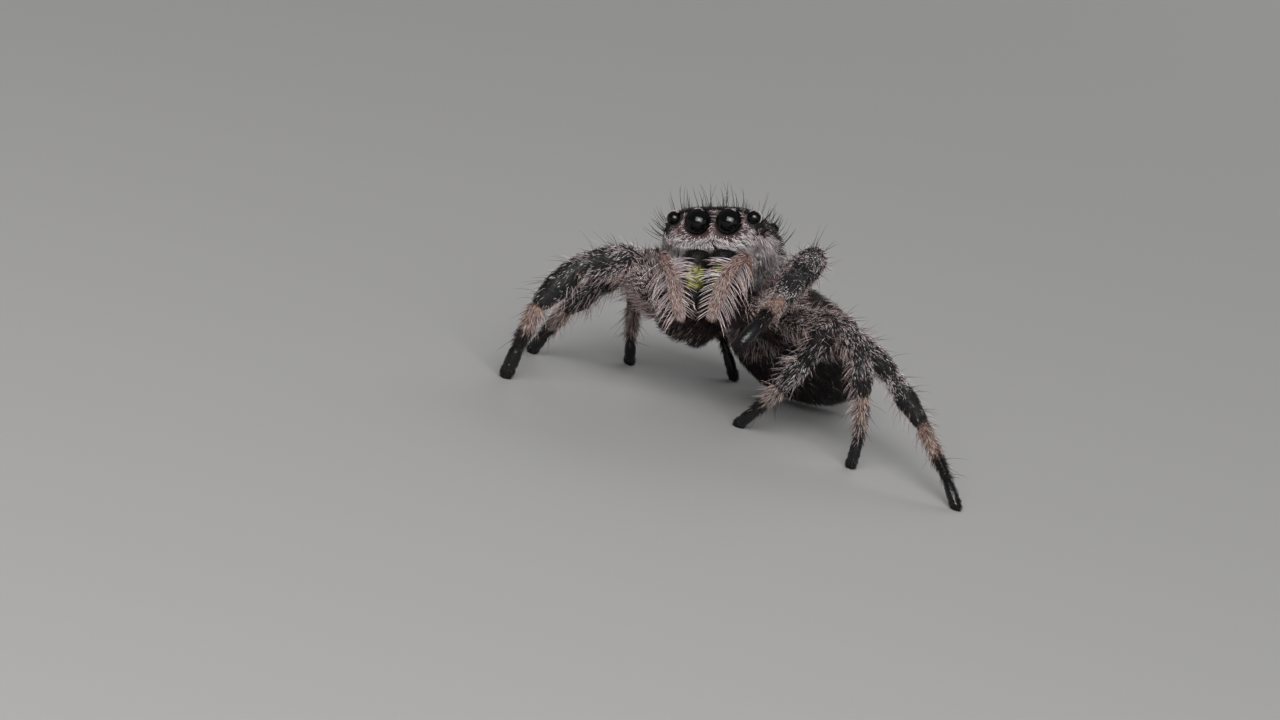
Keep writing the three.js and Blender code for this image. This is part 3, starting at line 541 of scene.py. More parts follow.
legs = {tag: makeLeg(tag) for tag in stances}
coxae = {tag: makeCoxa(stances[tag][0], stances[tag][1]) for tag in stances}
palps = {"R": makePalp(-1), "L": makePalp(1)}
tubes = {kind + tag: tube for kind, group in (("leg", legs), ("coxa", coxae), ("palp", palps))
         for tag, tube in group.items()}
waistPath = [bodyToFloor(spider["waistStart"]), waist, abdomenFront, abdomenFront + 0.5 * abdomenTurn[:, 1]]
tubes["pedicel"] = makeTube(waistPath, (0, 1), spider["waistRadii"], top=up, count=30)
print("worked out", len(tubes), "tubes")


def ovalLobe(centre, radii, toFloor):
    # an egg about y: the half sizes times (sine of latitude, minus its cosine, sine) on each ring
    def surface(share, angle):
        latitude = share * np.pi
        local = np.stack([radii[0] * np.sin(latitude) * np.sin(angle), -radii[1] * np.cos(latitude),
                          radii[2] * np.sin(latitude) * np.cos(angle)], -1)
        return toFloor(local + np.array(centre))
    return surface


# sternum, two endites and the labium, then the spinnerets' base and the spinnerets: middle and half sizes
lobes = [ovalLobe(middle, radii, bodyToFloor) for middle, radii in (
    ((0, 1.75, -1.5), (0.58, 0.98, 0.45)), ((-0.27, 0.46, -1.66), (0.18, 0.21, 0.31)),
    ((0.27, 0.46, -1.66), (0.18, 0.21, 0.31)), ((0, 0.55, -1.6), (0.18, 0.15, 0.28)))]
lobes += [ovalLobe((0, 3.69, -0.02), (0.22, 0.2, 0.19), abdomenToFloor)]
lobes += [ovalLobe((x, 3.88, z), (0.07, 0.2, 0.07), abdomenToFloor)
          for x, z in ((0.11, 0.08), (-0.11, 0.08), (0.09, -0.12), (-0.09, -0.12))]


def fused(points, faces):
    # closed meshes that cross each other become one outer surface, evened by rounds of smoothing
    mesh = bpy.data.meshes.new("fusing")
    mesh.from_pydata(points.tolist(), [], faces.tolist())
    holder = bpy.data.objects.new("fusing", mesh)
    bpy.context.scene.collection.objects.link(holder)
    remesh = holder.modifiers.new("voxels", "REMESH")
    remesh.mode, remesh.voxel_size = "VOXEL", spider["voxel"]
    smooth = holder.modifiers.new("even", "SMOOTH")
    smooth.factor, smooth.iterations = spider["smoothing"]
    shape = holder.evaluated_get(bpy.context.evaluated_depsgraph_get()).to_mesh()
    newPoints = np.zeros(len(shape.vertices) * 3, np.float32)
    shape.vertices.foreach_get("co", newPoints)
    corners = np.zeros(len(shape.loops), np.int32)
    shape.loops.foreach_get("vertex_index", corners)
    bpy.data.objects.remove(holder)
    return newPoints.reshape(-1, 3).astype(float), corners.reshape(-1, 4)


# the skin is every part's surface, fused to one; its colours go by part and by segment of a leg
skinColours = {
    "body": "#1E1A1B", "abdomen": "#121011", "under": "#2A1716", "palp": "#6E554E",
    "femur": "#1F1819", "patella": "#141213", "tibia": "#111011", "metatarsus": "#7E6355",
    "tarsus": "#0B0B0D",
}
skinEdges = {
    "margin": 0.06, "reach": 0.4, "tubeGap": 0.09, "box": 0.5,     # how near counts as on a part, mm
    "blend": 0.012,                         # half the share of a leg over which two segments' colours mix
    "waxFrom": (0.55, 0.65),                # where along the metatarsus it turns black and waxy
}


def skinParts():
    # every surface as a closed mesh, with more rows along the legs
    parts = [surfaceGrid(carapaceSurface, 90, 96), surfaceGrid(abdomenSurface, 80, 80)]
    parts += [surfaceGrid(tubeSurface(tube), 150 if name.startswith("leg") else 60, 36)
              for name, tube in tubes.items()]
    return parts + [surfaceGrid(lobe, 24, 24) for lobe in lobes]


def nearestPart(points):
    # which tube or body each point lies on, and its share along that tube; the nearest surface wins
    onAbdomen = insideAbdomen(points, -skinEdges["margin"])
    best = np.where(onAbdomen, 0.0, skinEdges["reach"])
    part = np.where(onAbdomen, "abdomen", "under").astype("U12")
    onCarapace = insideCarapace(points, -skinEdges["margin"])
    part[onCarapace], best[onCarapace] = "body", 0.0
    along = np.zeros(len(points))
    for name, tube in tubes.items():
        low, high = tube["centre"].min(0) - skinEdges["box"], tube["centre"].max(0) + skinEdges["box"]
        near = np.flatnonzero(((points > low) & (points < high)).all(1))
        if not len(near):
            continue
        apart = np.sqrt(((points[near, None] - tube["centre"][None, ::3]) ** 2).sum(-1))
        apart = apart - tube["radius"][None, ::3]
        i = apart.argmin(1)
        gap = np.abs(apart[np.arange(len(near)), i])
        better = gap < np.minimum(best[near], skinEdges["tubeGap"])
        chosen = near[better]
        best[chosen], part[chosen], along[chosen] = gap[better], name, tube["share"][::3][i[better]]
    return part, along


def legSegment(tube, share):
    # the number of the segment, and how far along it, for shares of a leg's length
    segment = np.clip(np.searchsorted(tube["joints"], share, "right") - 1, 0, 4)
    low, high = tube["joints"][segment], tube["joints"][segment + 1]
    return segment, (share - low) / (high - low)


def skinTint(points):
    # each part's colour, blended from segment to segment of a leg, with the polish of the feet as a fourth
    # value
    part, along = nearestPart(points)
    tint = np.tile(linear(skinColours["under"]), (len(points), 1))
    polish = np.zeros(len(points))
    for key in ("body", "abdomen"):
        tint[part == key] = linear(skinColours[key])
    for name, tube in tubes.items():
        on = part == name
        if name.startswith("leg"):
            codes = np.array([linear(skinColours[s]) for s in legShape["names"]])
            edge = tube["joints"][1:5]
            mixed = np.tile(codes[0], (on.sum(), 1))
            for k, e in enumerate(edge):
                beyond = smoothStep(e - skinEdges["blend"], e + skinEdges["blend"], along[on])[:, None]
                mixed = mixed + beyond * (codes[k + 1] - codes[k])
            distal = smoothStep(*skinEdges["waxFrom"], (along[on] - edge[2]) / (edge[3] - edge[2]))[:, None]
            tint[on] = mixed + distal * (codes[4] - mixed)
            polish[on] = distal[:, 0]
        elif name.startswith("palp"):
            tint[on] = linear(skinColours["palp"])
    return np.c_[tint, polish]


skinPoints, skinFaces = fused(*joined(skinParts()))
skinPoints[:, 2] = np.maximum(skinPoints[:, 2], 0.0)      # the feet's undersides are flat on the floor
fleshNodes = [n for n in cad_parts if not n.startswith(("eye_", "chelicera_"))]
skin = makeMesh("skin", skinPoints, skinFaces, skinTint(skinPoints))
addPiece(skin, materials["skin"], fleshNodes)

# one round lens for each eye
eyeCentres = {}
for eyeName, eye in eyes.items():
    for tag, side in (("R", -1), ("L", 1)):
        centre = np.array(eye["place"]) * (side, 1, 1)
        eyeCentres[eyeName + tag] = (bodyToFloor(centre), eye["radius"])
        lens = surfaceGrid(ovalLobe(centre, [eye["radius"]] * 3, bodyToFloor), 40, 56)
        lens = makeMesh(f"lens_{eyeName}_{tag}", *lens)
        addPiece(lens, materials["cornea"], [f"eye_{eyeName}_{tag}"])

# chelicerae: wide, depth and forward are read by share of the length; green is the patch on the front
cheliceraShape = {
    "top": -0.62, "length": 1.25, "half": 0.28, "deep": 0.34, "apart": 0.3, "splay": 0.04, "coat": 0.01,
    "wide": [(0, 0.72), (0.12, 0.95), (0.4, 1), (0.75, 0.92), (1, 0.66)],
    "depth": [(0, 0.75), (0.12, 1), (0.4, 1), (0.75, 0.82), (1, 0.55)],
    "forward": [(0, 0.04), (0.12, 0.0), (0.4, -0.03), (0.75, -0.08), (1, -0.1)],
    # the green starts at its from share; the dark tint above it is painted shadow under the face's overhang,
    # and below and at the sides it is the chelicera's own black
    "green": {"from": (0.3, 0.4), "to": (0.8, 0.7), "aside": (0.22, 0.12), "middle": 0.27},
    "tints": {"dark": "#080707", "green": "#747334"},
}


def cheliceraSurface(side):
    # ovals down the length, wide above and narrow below, with both ends rounded
    c = cheliceraShape

    def surface(share, angle):
        end = np.sqrt(np.clip(share / 0.06, 0, 1) * np.clip((1 - share) / 0.08, 0, 1))
        half = (c["half"] - c["coat"]) * smoothCurve(c["wide"], share)
        deep = (c["deep"] - c["coat"]) * smoothCurve(c["depth"], share)
        x = side * (c["apart"] + c["splay"] * share) + half * end * np.sin(angle)
        y = smoothCurve(c["forward"], share) + deep * end * np.cos(angle)
        return bodyToFloor(np.stack([x, y, c["top"] - c["length"] * share], -1))
    return surface


def cheliceraTint(points):
    # green in a patch half way down, black below and at the sides; the black above the patch is painted
    # shadow cast by the face's overhang
    local, patch = headLocal(points), cheliceraShape["green"]
    down = (cheliceraShape["top"] - local[:, 2]) / cheliceraShape["length"]
    aside = np.abs(np.abs(local[:, 0]) - patch["middle"])
    green = smoothStep(*patch["from"], down) * smoothStep(*patch["to"], down)
    green = green * smoothStep(*patch["aside"], aside)
    dark, bright = (linear(code) for code in cheliceraShape["tints"].values())
    return dark + green[:, None] * (bright - dark)


fangShape = {"path": [(0.3, -0.14, -1.78), (0.28, -0.18, -1.95), (0.2, -0.16, -2.06), (0.1, -0.1, -2.1)],
             "radii": (0.08, 0.025)}
fangs = []
for tag, side in (("R", -1), ("L", 1)):
    points, faces = surfaceGrid(cheliceraSurface(side), 60, 60)
    body = makeMesh("chelicera_" + tag + "_shell", points, faces, cheliceraTint(points))
    addPiece(body, materials["chelicera"], ["chelicera_" + tag])
    path = bodyToFloor(np.array(fangShape["path"]) * (side, 1, 1))
    fang = makeTube(path, (0, 1), fangShape["radii"], top=up, count=30)
    fangs.append(surfaceGrid(tubeSurface(fang), 30, 16))
addPiece(makeMesh("fangs", *joined(fangs)), materials["fangs"])

# the coat: hairs whose places, sizes and colours are drawn by chance, always from the same seed
rng = np.random.default_rng(7)
waves = rng.normal(size=(3, 8))


def ripple(points, size):
    # smooth patches: the mean of eight sine waves that run in different directions, from -1 to 1
    return np.clip(np.sin(points @ waves * (2.2 / size) + waves[0] * 9).mean(1) * 2, -1, 1)


def scatter(surface, count, shares, angles, density):
    # roots spread by area: four times as many tries, kept by chance in proportion to the patch of surface
    # that each one stands for
    share = rng.uniform(*shares, count * 4)
    angle = rng.uniform(*angles, count * 4)
    step = 0.002
    root = surface(share, angle)
    along = surface(share + step, angle) - surface(share - step, angle)
    across = surface(share, angle + step) - surface(share, angle - step)
    facing = np.cross(across, along)
    weight = np.linalg.norm(facing, axis=1)
    if density is not None:
        weight = weight * density(share, angle, root)
    kept = rng.choice(count * 4, count, replace=False, p=weight / weight.sum())
    return {"share": share[kept], "angle": angle[kept], "root": root[kept],
            "out": unit(facing[kept]), "lie": unit(along[kept])}


def clearRoots(roots, own, eyeRoom):
    # leaves out roots that lie inside another part or an eye
    p = roots["root"]
    buried = np.zeros(len(p), bool)
    for name, tube in tubes.items():
        if name not in own:
            buried |= insideTube(tube, p)
    if "carapace" not in own:
        buried |= insideCarapace(p)
    if "abdomen" not in own:
        buried |= insideAbdomen(p)
    for centre, radius in eyeCentres.values():
        buried |= np.linalg.norm(p - centre, axis=1) < radius + eyeRoom
    return {key: value[~buried] for key, value in roots.items()}


def ruffled(roots, amount, size):
    # turns each hair's lie by chance, and by patches so that neighbours lean together
    n = len(roots["root"])
    patch = np.stack([ripple(roots["root"] + k * 7.3, size) for k in range(3)], -1)
    return {**roots, "lie": roots["lie"] + amount * (rng.normal(size=(n, 3)) * 0.7 + patch)}


def sown(surface, count, shares, own=(), ruffle=0, size=0.5, angles=(0, 2 * np.pi), density=None,
         eyeRoom=0.02):
    # scattered roots outside the other parts, ruffled if asked, and how many there are
    roots = clearRoots(scatter(surface, count, shares, angles, density), own, eyeRoom)
    return ruffled(roots, ruffle, size) if ruffle else roots, len(roots["root"])


def around(middle, share, count):
    # values about a middle, varied by a share of it
    return middle * (1 + share * rng.uniform(-1, 1, count))


def drawn(value, count):
    # (middle, share) stands for values about a middle, [low, high] for values between two; others stay
    if isinstance(value, list):
        return rng.uniform(*value, count)
    return around(*value, count) if isinstance(value, tuple) else value


hairColours = {
    "pale": "#CDBCBD", "white": "#F6EFEF", "mauve": "#D3C0C3", "cream": "#D6C5BD", "peach": "#C29C8C",
    "rust": "#936E64", "grey": "#6B6162", "brown": "#4C3735", "dark": "#1A1213",
}
hairColours = {key: linear(code) for key, code in hairColours.items()}


def mixTint(weights, count, vary=0.2):
    # each hair takes one colour by chance, with the given weights, and its own brightness
    names = list(weights)
    chance = np.stack([np.broadcast_to(np.asarray(weights[n], float), (count,)) for n in names])
    limit = np.cumsum(chance / chance.sum(0), axis=0)
    pick = (rng.random(count)[None] > limit).sum(0).clip(0, len(names) - 1)
    return np.array([hairColours[n] for n in names])[pick] * around(1, vary, count)[:, None]


def palette(share, light, dark, count):
    # a share of each hair being light, and the mixtures of light and dark colours
    lightSum, darkSum = sum(light.values()), sum(dark.values())
    weights = {name: share * w / lightSum for name, w in light.items()}
    for name, w in dark.items():
        weights[name] = weights.get(name, 0) + (1 - share) * w / darkSum
    return mixTint(weights, count)


# sink: how far a root lies under the skin, mm; floor: the lowest that a hair reaches; tip: painted light, the
# factor on a tip's colour;
# cells: the map OFBake has six by six, and each region of a piece lies in its own; patch: a hair's size there
blade = {"sink": 0.02, "floor": 0.004, "tip": 1.12, "corners": (90, 210, 330), "cells": 6, "cellUsed": 0.93,
         "cellEdge": 0.03, "patch": 0.003}


def hairs(roots, length, width, rise, settle, tint, sway=0, rings=2, flat=0.6, taper=0.8, paintedRootShade=0.4,
          chart=0):
    # each hair is a three-sided blade that leaves the skin at one angle from its lie and bends to another,
    # swaying aside on the way; its radius falls to nothing at the tip, and its colour carries painted shade,
    # darker at the root and lighter at the tip
    n = len(roots["root"])
    length, width, rise, settle = (drawn(v, n) for v in (length, width, rise, settle))
    tint = mixTint(tint, n) if isinstance(tint, dict) else tint
    sway = rng.normal(0, sway, n) if np.isscalar(sway) and sway else sway
    length, width, sway, rise, settle, paintedRootShade = (
        np.broadcast_to(np.asarray(v, float), (n,))
        for v in (length, width, sway, np.radians(rise), np.radians(settle), paintedRootShade))
    out = roots["out"]
    lie = unit(roots["lie"] - (roots["lie"] * out).sum(-1, keepdims=True) * out)
    across = np.cross(out, lie)
    point = roots["root"] - out * blade["sink"]
    rows = []
    corners = np.radians(blade["corners"])[None, :, None]
    for j in range(rings):
        t = j / rings
        angle, turn = rise + (settle - rise) * t, sway * t
        level = lie * np.cos(turn)[:, None] + across * np.sin(turn)[:, None]
        ahead = level * np.cos(angle)[:, None] + out * np.sin(angle)[:, None]
        side = unit(np.cross(ahead, out) + 1e-6 * across)
        front = np.cross(side, ahead)
        radius = (width / 2 * (1 - t) ** taper)[:, None, None]
        ring = np.sin(corners) * front[:, None] * flat + np.cos(corners) * side[:, None]
        rows.append(point[:, None] + radius * ring)
        point = point + ahead * (length / rings)[:, None]
    points = np.concatenate([np.concatenate(rows, 1), point[:, None]], 1)
    points[..., 2] = np.maximum(points[..., 2], blade["floor"])
    per = 3 * rings + 1
    faces = [(2, 1, 0)]
    for a, b in ((3 * j + k, 3 * j + (k + 1) % 3) for j in range(rings - 1) for k in range(3)):
        faces += [(a, b, b + 3), (a, b + 3, a + 3)]
    faces += [(per - 4 + k, per - 4 + (k + 1) % 3, per - 1) for k in range(3)]
    allFaces = (np.array(faces)[None] + np.arange(n)[:, None, None] * per).reshape(-1, 3)
    height = np.r_[np.repeat(np.arange(rings) / rings, 3), 1.0]
    # painted shade: each hair's colour is darkened towards its root and lifted at its tip, as shade and light
    # among the hairs
    shade = paintedRootShade[:, None] + (blade["tip"] - paintedRootShade[:, None]) * height
    colours = np.clip(shade[..., None] * tint[:, None, :], 0, 1).reshape(-1, 3)
    cell = np.array([chart % blade["cells"], chart // blade["cells"]]) + blade["cellEdge"]
    place = np.stack([roots["angle"] / (2 * np.pi) % 1, roots["share"]], -1)
    place = (cell + blade["cellUsed"] * place) / blade["cells"]
    patch = blade["patch"] * np.stack([np.r_[np.tile([0, 0.5, 1], rings), 0.5], height], -1)
    return points.reshape(-1, 3), allFaces, colours, (place[:, None] + patch[None]).reshape(-1, 2)


coatTotal = []


def coatPiece(name, sets):
    # several sets of hairs joined as one piece
    points, faces = joined([s[:2] for s in sets])
    tint, uv = (np.concatenate([s[k] for s in sets]) for k in (2, 3))
    coatTotal.append(len(faces))
    addPiece(makeMesh(name, points, faces, tint, uv), materials["setae"])


# legs: short flat hairs lie along each segment, pale and black by patches and stripes; fine bristles
# stand above, soft hair hangs below, and a dense brush ends each foot
legCoat = {
    "femur": {"length": 0.18, "width": 0.024, "rise": 26, "density": 0.9,
              "pale": [(0, 0.55), (0.5, 0.5), (1, 0.5)],
              "light": {"pale": 4, "cream": 2, "white": 1}, "dark": {"dark": 3, "brown": 2}},
    "patella": {"length": 0.135, "width": 0.024, "rise": 20, "density": 1.05,
                "pale": [(0, 0.5), (0.6, 0.55), (1, 0.35)],
                "light": {"pale": 3, "mauve": 2, "white": 2}, "dark": {"dark": 1}},
    "tibia": {"length": 0.115, "width": 0.024, "rise": 18, "density": 1.05,
              "pale": [(0, 0.45), (0.5, 0.42), (1, 0.3)],
              "light": {"pale": 3, "white": 2}, "dark": {"dark": 1}},
    "metatarsus": {"length": 0.17, "width": 0.02, "rise": 36, "density": 0.85,
                   "pale": [(0, 0.92), (0.5, 0.88), (0.64, 0.1), (1, 0.05)],
                   "light": {"cream": 4, "white": 1, "peach": 3, "mauve": 1},
                   "dark": {"dark": 5, "brown": 1}},
    "tarsus": {"length": 0.08, "width": 0.018, "rise": 14, "density": 0.35,
               "pale": [(0, 0.05), (1, 0.02)], "light": {"pale": 1}, "dark": {"dark": 1}},
    "hairs": {"R1": 9000, "R2": 7500, "R3": 5500, "R4": 5500, "L1": 9500, "L2": 8500, "L3": 8500, "L4": 8500},
    "fringes": {"R1": 900, "R2": 900, "R3": 350, "R4": 300, "L1": 450, "L2": 600, "L3": 700, "L4": 500},
    # brightness: painted shade, one factor that darkens every leg hair, for light that falls off away from
    # the head
    "bristles": 110, "brushHairs": 420, "brightness": 0.83, "droop": 0.5,
    "shares": {"short": (0.01, 0.995), "bristle": (0.08, 0.88), "fringe": (0.04, 0.8),
               "brush": (0.955, 0.998)},
    "short": {"settle": 4, "sway": 0.3, "paintedRootShade": 0.32},
    "bristle": {"width": 0.015, "rise": [40, 80], "settle": 40, "tint": {"dark": 1}, "sway": 0.3, "rings": 3},
    "fringe": {"length": [0.2, 0.5], "width": 0.015, "rise": [40, 75], "settle": 12, "sway": 0.4, "rings": 3,
               "tint": {"pale": 3, "cream": 3, "rust": 2, "brown": 2}, "paintedRootShade": 0.6},
    "brush": {"length": (0.1, 0.3), "width": 0.02, "rise": (34, 0.5), "settle": 10, "tint": {"dark": 1}},
}
# what single legs change: the share of pale hair on a segment
legMarks = {
    "R1": {"femur": [(0, 0.8), (0.4, 0.7), (1, 0.5)], "tibia": [(0, 0.4), (0.3, 0.26), (1, 0.12)]},
    "R2": {"femur": [(0, 0.85), (0.6, 0.7), (1, 0.5)], "tibia": [(0, 0.4), (0.3, 0.2), (1, 0.1)]},
    "R3": {"metatarsus": [(0, 0.92), (0.7, 0.9), (0.9, 0.2), (1, 0.1)]},
    "R4": {"tibia": [(0, 0.75), (0.3, 0.7), (0.42, 0.08), (1, 0.04)]},
    "L1": {"tibia": [(0, 0.35), (0.5, 0.4), (1, 0.4)]},
    "L2": {"femur": [(0, 0.4), (1, 0.35)], "patella": [(0, 0.15), (0.4, 0.1), (0.8, 0.4), (1, 0.5)],
           "tibia": [(0, 0.6), (0.5, 0.55), (1, 0.4)]},
    "L3": {"femur": [(0, 0.4), (1, 0.35)], "metatarsus": [(0, 0.75), (0.7, 0.7), (0.86, 0.15), (1, 0.05)]},
    "L4": {"femur": [(0, 0.4), (1, 0.4)], "patella": [(0, 0.5), (0.5, 0.3), (0.85, 0.15), (1, 0.2)],
           "tibia": [(0, 0.6), (0.3, 0.6), (0.42, 0.08), (1, 0.04)],
           "metatarsus": [(0, 0.8), (0.45, 0.75), (0.58, 0.08), (1, 0.05)]},
}


def perSegment(segment, key):
    # a setting read for each hair by the number of its segment
    return np.array([legCoat[name][key] for name in legShape["names"]])[segment]


def legPale(tag, segment, u, angle, points):
    # the share of pale hair: by place along the segment, darker in two stripes, patchy
    share = np.zeros(len(u))
    for k, name in enumerate(legShape["names"]):
        on = segment == k
        share[on] = smoothCurve(legMarks.get(tag, {}).get(name, legCoat[name]["pale"]), u[on])
    turn = np.abs((angle + np.pi) % (2 * np.pi) - np.pi)
    stripe = np.exp(-((turn - 1.15) / 0.3) ** 2) * np.isin(segment, (1, 2))
    patches = 0.92 + 0.8 * ripple(points, 0.32) * (segment < 3)
    return np.clip(share * (1 - 0.75 * stripe) * patches, 0.01, 0.97)


def legTints(tag, segment, u, angle, points):
    # each segment's own light and dark colours, mixed by the share of pale hair, then darkened by one factor
    # as painted shade, for light that falls off away from the head
    tint = np.zeros((len(u), 3))
    share = legPale(tag, segment, u, angle, points)
    for k, name in enumerate(legShape["names"]):
        on = segment == k
        tint[on] = palette(share[on], legCoat[name]["light"], legCoat[name]["dark"], on.sum())
    return tint * legCoat["brightness"]


for chart, (tag, tube) in enumerate(legs.items()):
    own, shares = ["leg" + tag], legCoat["shares"]
    surface = tubeSurface(tube)
    density = lambda s, a, p: perSegment(legSegment(tube, s)[0], "density")
    roots, n = sown(surface, legCoat["hairs"][tag], shares["short"], own, 0.22, density=density)
    segment, u = legSegment(tube, roots["share"])
    length, width, rise = (perSegment(segment, key) for key in ("length", "width", "rise"))
    length, rise = around(length, 0.4, n), around(rise, 0.7, n)
    tint = legTints(tag, segment, u, roots["angle"], roots["root"])
    sets = [hairs(roots, length, width, rise, tint=tint, chart=chart, **legCoat["short"])]
    above = lambda s, a, p: 0.35 + np.clip(np.cos(a), 0, 1)
    roots, n = sown(surface, legCoat["bristles"], shares["bristle"], own, density=above)
    sets.append(hairs(roots, 0.22 + 0.5 * rng.random(n) ** 2, chart=chart, **legCoat["bristle"]))
    below = lambda s, a, p: (0.12 + np.clip(-np.cos(a), 0, 1)) * (0.35 + smoothStep(0.45, 0.2, s))
    roots, _ = sown(surface, legCoat["fringes"][tag], shares["fringe"], own, density=below)
    roots["lie"] = roots["lie"] - legCoat["droop"] * up
    sets.append(hairs(roots, chart=chart, **legCoat["fringe"]))
    roots, _ = sown(surface, legCoat["brushHairs"], shares["brush"], own, 0.2)
    sets.append(hairs(roots, chart=chart, **legCoat["brush"]))
    coatPiece("legCoat_" + tag, sets)

# coxae, sternum and mouthparts: brown hair that hangs, cream on the outer sides of the coxae; the large share
# of black hair is partly the hair's own dark brown and partly painted shade under the body
underCoat = {
    "coxaHairs": 1500, "lobeHairs": (2200, 500, 500, 300, 250, 120, 120, 120, 120), "chart": 14, "droop": 0.5,
    "coxa": {"length": (0.16, 0.5), "width": 0.024, "rise": (32, 0.4), "settle": 8, "sway": 0.3},
    # the dark weights of the lobes' hair are partly painted shade under the body
    "lobe": {"width": 0.018, "rise": (20, 0.4), "settle": 5, "tint": {"brown": 3, "dark": 12}, "sway": 0.3},
    "headLobe": (0.128, 0.4), "rearLobe": (0.12, 0.4),      # hairs' lengths in front of and behind the waist
}
under = []
for name, tube in tubes.items():
    if not name.startswith("coxa"):
        continue
    roots, _ = sown(tubeSurface(tube), underCoat["coxaHairs"], (0.02, 0.99), [name], 0.25)
    roots["lie"] = roots["lie"] - underCoat["droop"] * up
    outward = smoothStep(0.35, 0.8, roots["share"]) * smoothStep(-0.7, 0.1, roots["out"][:, 2])
    # the dark weight of the coxae's hair is partly painted shade under the body
    tint = {"brown": 3, "dark": 8, "rust": 0.6, "cream": 9 * outward, "pale": 7 * outward + 0.2}
    under.append(hairs(roots, tint=tint, chart=underCoat["chart"] + len(under), **underCoat["coxa"]))
for k, (lobe, count) in enumerate(zip(lobes, underCoat["lobeHairs"])):
    roots, _ = sown(lobe, count, (0.02, 0.98), ["abdomen"] if k > 3 else [], 0.25)
    length = underCoat["rearLobe" if k > 3 else "headLobe"]
    under.append(hairs(roots, length, chart=underCoat["chart"] + len(under), **underCoat["lobe"]))
coatPiece("underCoat", under)

# palps: cream hair lies down them, long pale hairs fan out to both sides, and others sweep over the
# chelicerae; length and rise of a fan are given at its upper and lower end
palpCoat = {
    "hairs": 4400, "length": 0.13,
    "short": {"width": 0.02, "rise": (24, 0.5), "settle": 6, "sway": 0.2, "paintedRootShade": 0.3},
    "outer": {"count": 46, "shares": (0.48, 0.97), "turn": 1.5, "length": (0.84, 0.52), "rise": (74, 44)},
    "inner": {"count": 30, "shares": (0.62, 0.96), "turn": -1.35, "length": (0.46, 0.36), "rise": (66, 40)},
    "fanHair": {"sway": 0.2, "rings": 5, "flat": 0.8, "taper": 0.7, "paintedRootShade": 0.55},
    "fanTint": {"white": 1, "mauve": 3, "cream": 3, "rust": 0.7},
    "sweep": {"count": 22, "shares": (0.55, 0.7), "angles": (0.2, 1.2), "way": (-1, 0, 0.25),
              "length": [0.42, 0.64], "sway": (0.4, 0.9)},
    "sweepHair": {"settle": -4, "rings": 6, "flat": 0.8, "taper": 0.65, "paintedRootShade": 0.7},
    "sweepTint": {"white": 2, "mauve": 3, "cream": 2},
    "longWidth": (0.021, 0.2), "longVary": 0.15,
}
front = -bodyTurn[:, 1]
for chart, (tag, tube) in enumerate(palps.items(), 8):
    side = -1 if tag == "R" else 1
    surface = tubeSurface(tube)
    roots, n = sown(surface, palpCoat["hairs"], (0.1, 0.995), ["palp" + tag], 0.2)
    knob = smoothStep(0.52, 0.4, roots["share"])
    tip = smoothStep(0.6, 0.95, roots["share"])
    tint = mixTint({"cream": 2 * (1 - knob) + 3.4 * tip, "mauve": 2.2 * (1 - 0.7 * knob), "peach": 1,
                    "rust": 2.2 + 3 * knob, "brown": 3.4 * (1 - 0.6 * tip) + 3 * knob}, n)
    length = around(palpCoat["length"], 0.35, n) * (1 - 0.45 * knob)
    sets = [hairs(roots, length, tint=tint, chart=chart, **palpCoat["short"])]
    for fan in (palpCoat["outer"], palpCoat["inner"]):
        n = fan["count"]
        t = (np.arange(n) + rng.uniform(-0.8, 0.8, n)).clip(0, n - 1) / (n - 1)
        share, size, rise = (low + (high - low) * t for low, high in (
            fan["shares"], fan["length"], fan["rise"]))
        angle = -side * (fan["turn"] + 0.5 * rng.uniform(-1, 1, n))
        root = surface(share, angle)
        roots = {"share": share, "angle": angle, "root": root,
                 "out": unit(root - surface(share, angle + np.pi)),
                 "lie": unit(surface(share + 0.002, angle) - root)}
        size, rise, width, settle = (drawn(pair, n) for pair in (
            (size, 0.18), (rise, 0.12), palpCoat["longWidth"], (34, 0.4)))
        tint = mixTint(palpCoat["fanTint"], n, palpCoat["longVary"])
        sets.append(hairs(roots, size, width, rise, settle, tint, chart=chart, **palpCoat["fanHair"]))
    sweep = palpCoat["sweep"]
    n = sweep["count"]
    share, angle = rng.uniform(*sweep["shares"], n), side * rng.uniform(*sweep["angles"], n)
    root = surface(share, angle)
    way = np.array(sweep["way"]) * (side, 1, 1) + 0.14 * rng.normal(size=(n, 3))
    roots = {"share": share, "angle": angle, "root": root, "out": unit(front + 0 * root),
             "lie": way @ bodyTurn.T}
    size, width, rise = (drawn(v, n) for v in (sweep["length"], palpCoat["longWidth"], (16, 0.6)))
    tint = mixTint(palpCoat["sweepTint"], n, palpCoat["longVary"])
    sway = side * rng.uniform(*sweep["sway"], n)
    sets.append(hairs(roots, size, width, rise, tint=tint, sway=sway, chart=chart, **palpCoat["sweepHair"]))
    coatPiece("palpCoat_" + tag, sets)

# chelicerae: black hair above and at the sides, thin on the green front
cheliceraCoat = {
    "hairs": 1500, "chart": 28, "bare": ((0.22, 0.3), (0.86, 0.8), (-0.2, 0.3)),
    "hair": {"length": (0.13, 0.4), "width": 0.018, "rise": (25, 0.5), "settle": 6,
             "tint": {"dark": 8, "brown": 1}, "sway": 0.3},
}


def besideGreen(share, angle, root):
    # full density less a patch between two shares of the length, on the side that faces forward
    upper, lower, facing = cheliceraCoat["bare"]
    return 1.02 - smoothStep(*upper, share) * smoothStep(*lower, share) * smoothStep(*facing, -np.cos(angle))


sets = []
for k, side in enumerate((-1, 1)):
    surface = cheliceraSurface(side)
    roots, _ = sown(surface, cheliceraCoat["hairs"], (0.02, 0.97), ruffle=0.3, density=besideGreen)
    sets.append(hairs(roots, chart=cheliceraCoat["chart"] + k, **cheliceraCoat["hair"]))
coatPiece("cheliceraCoat", sets)

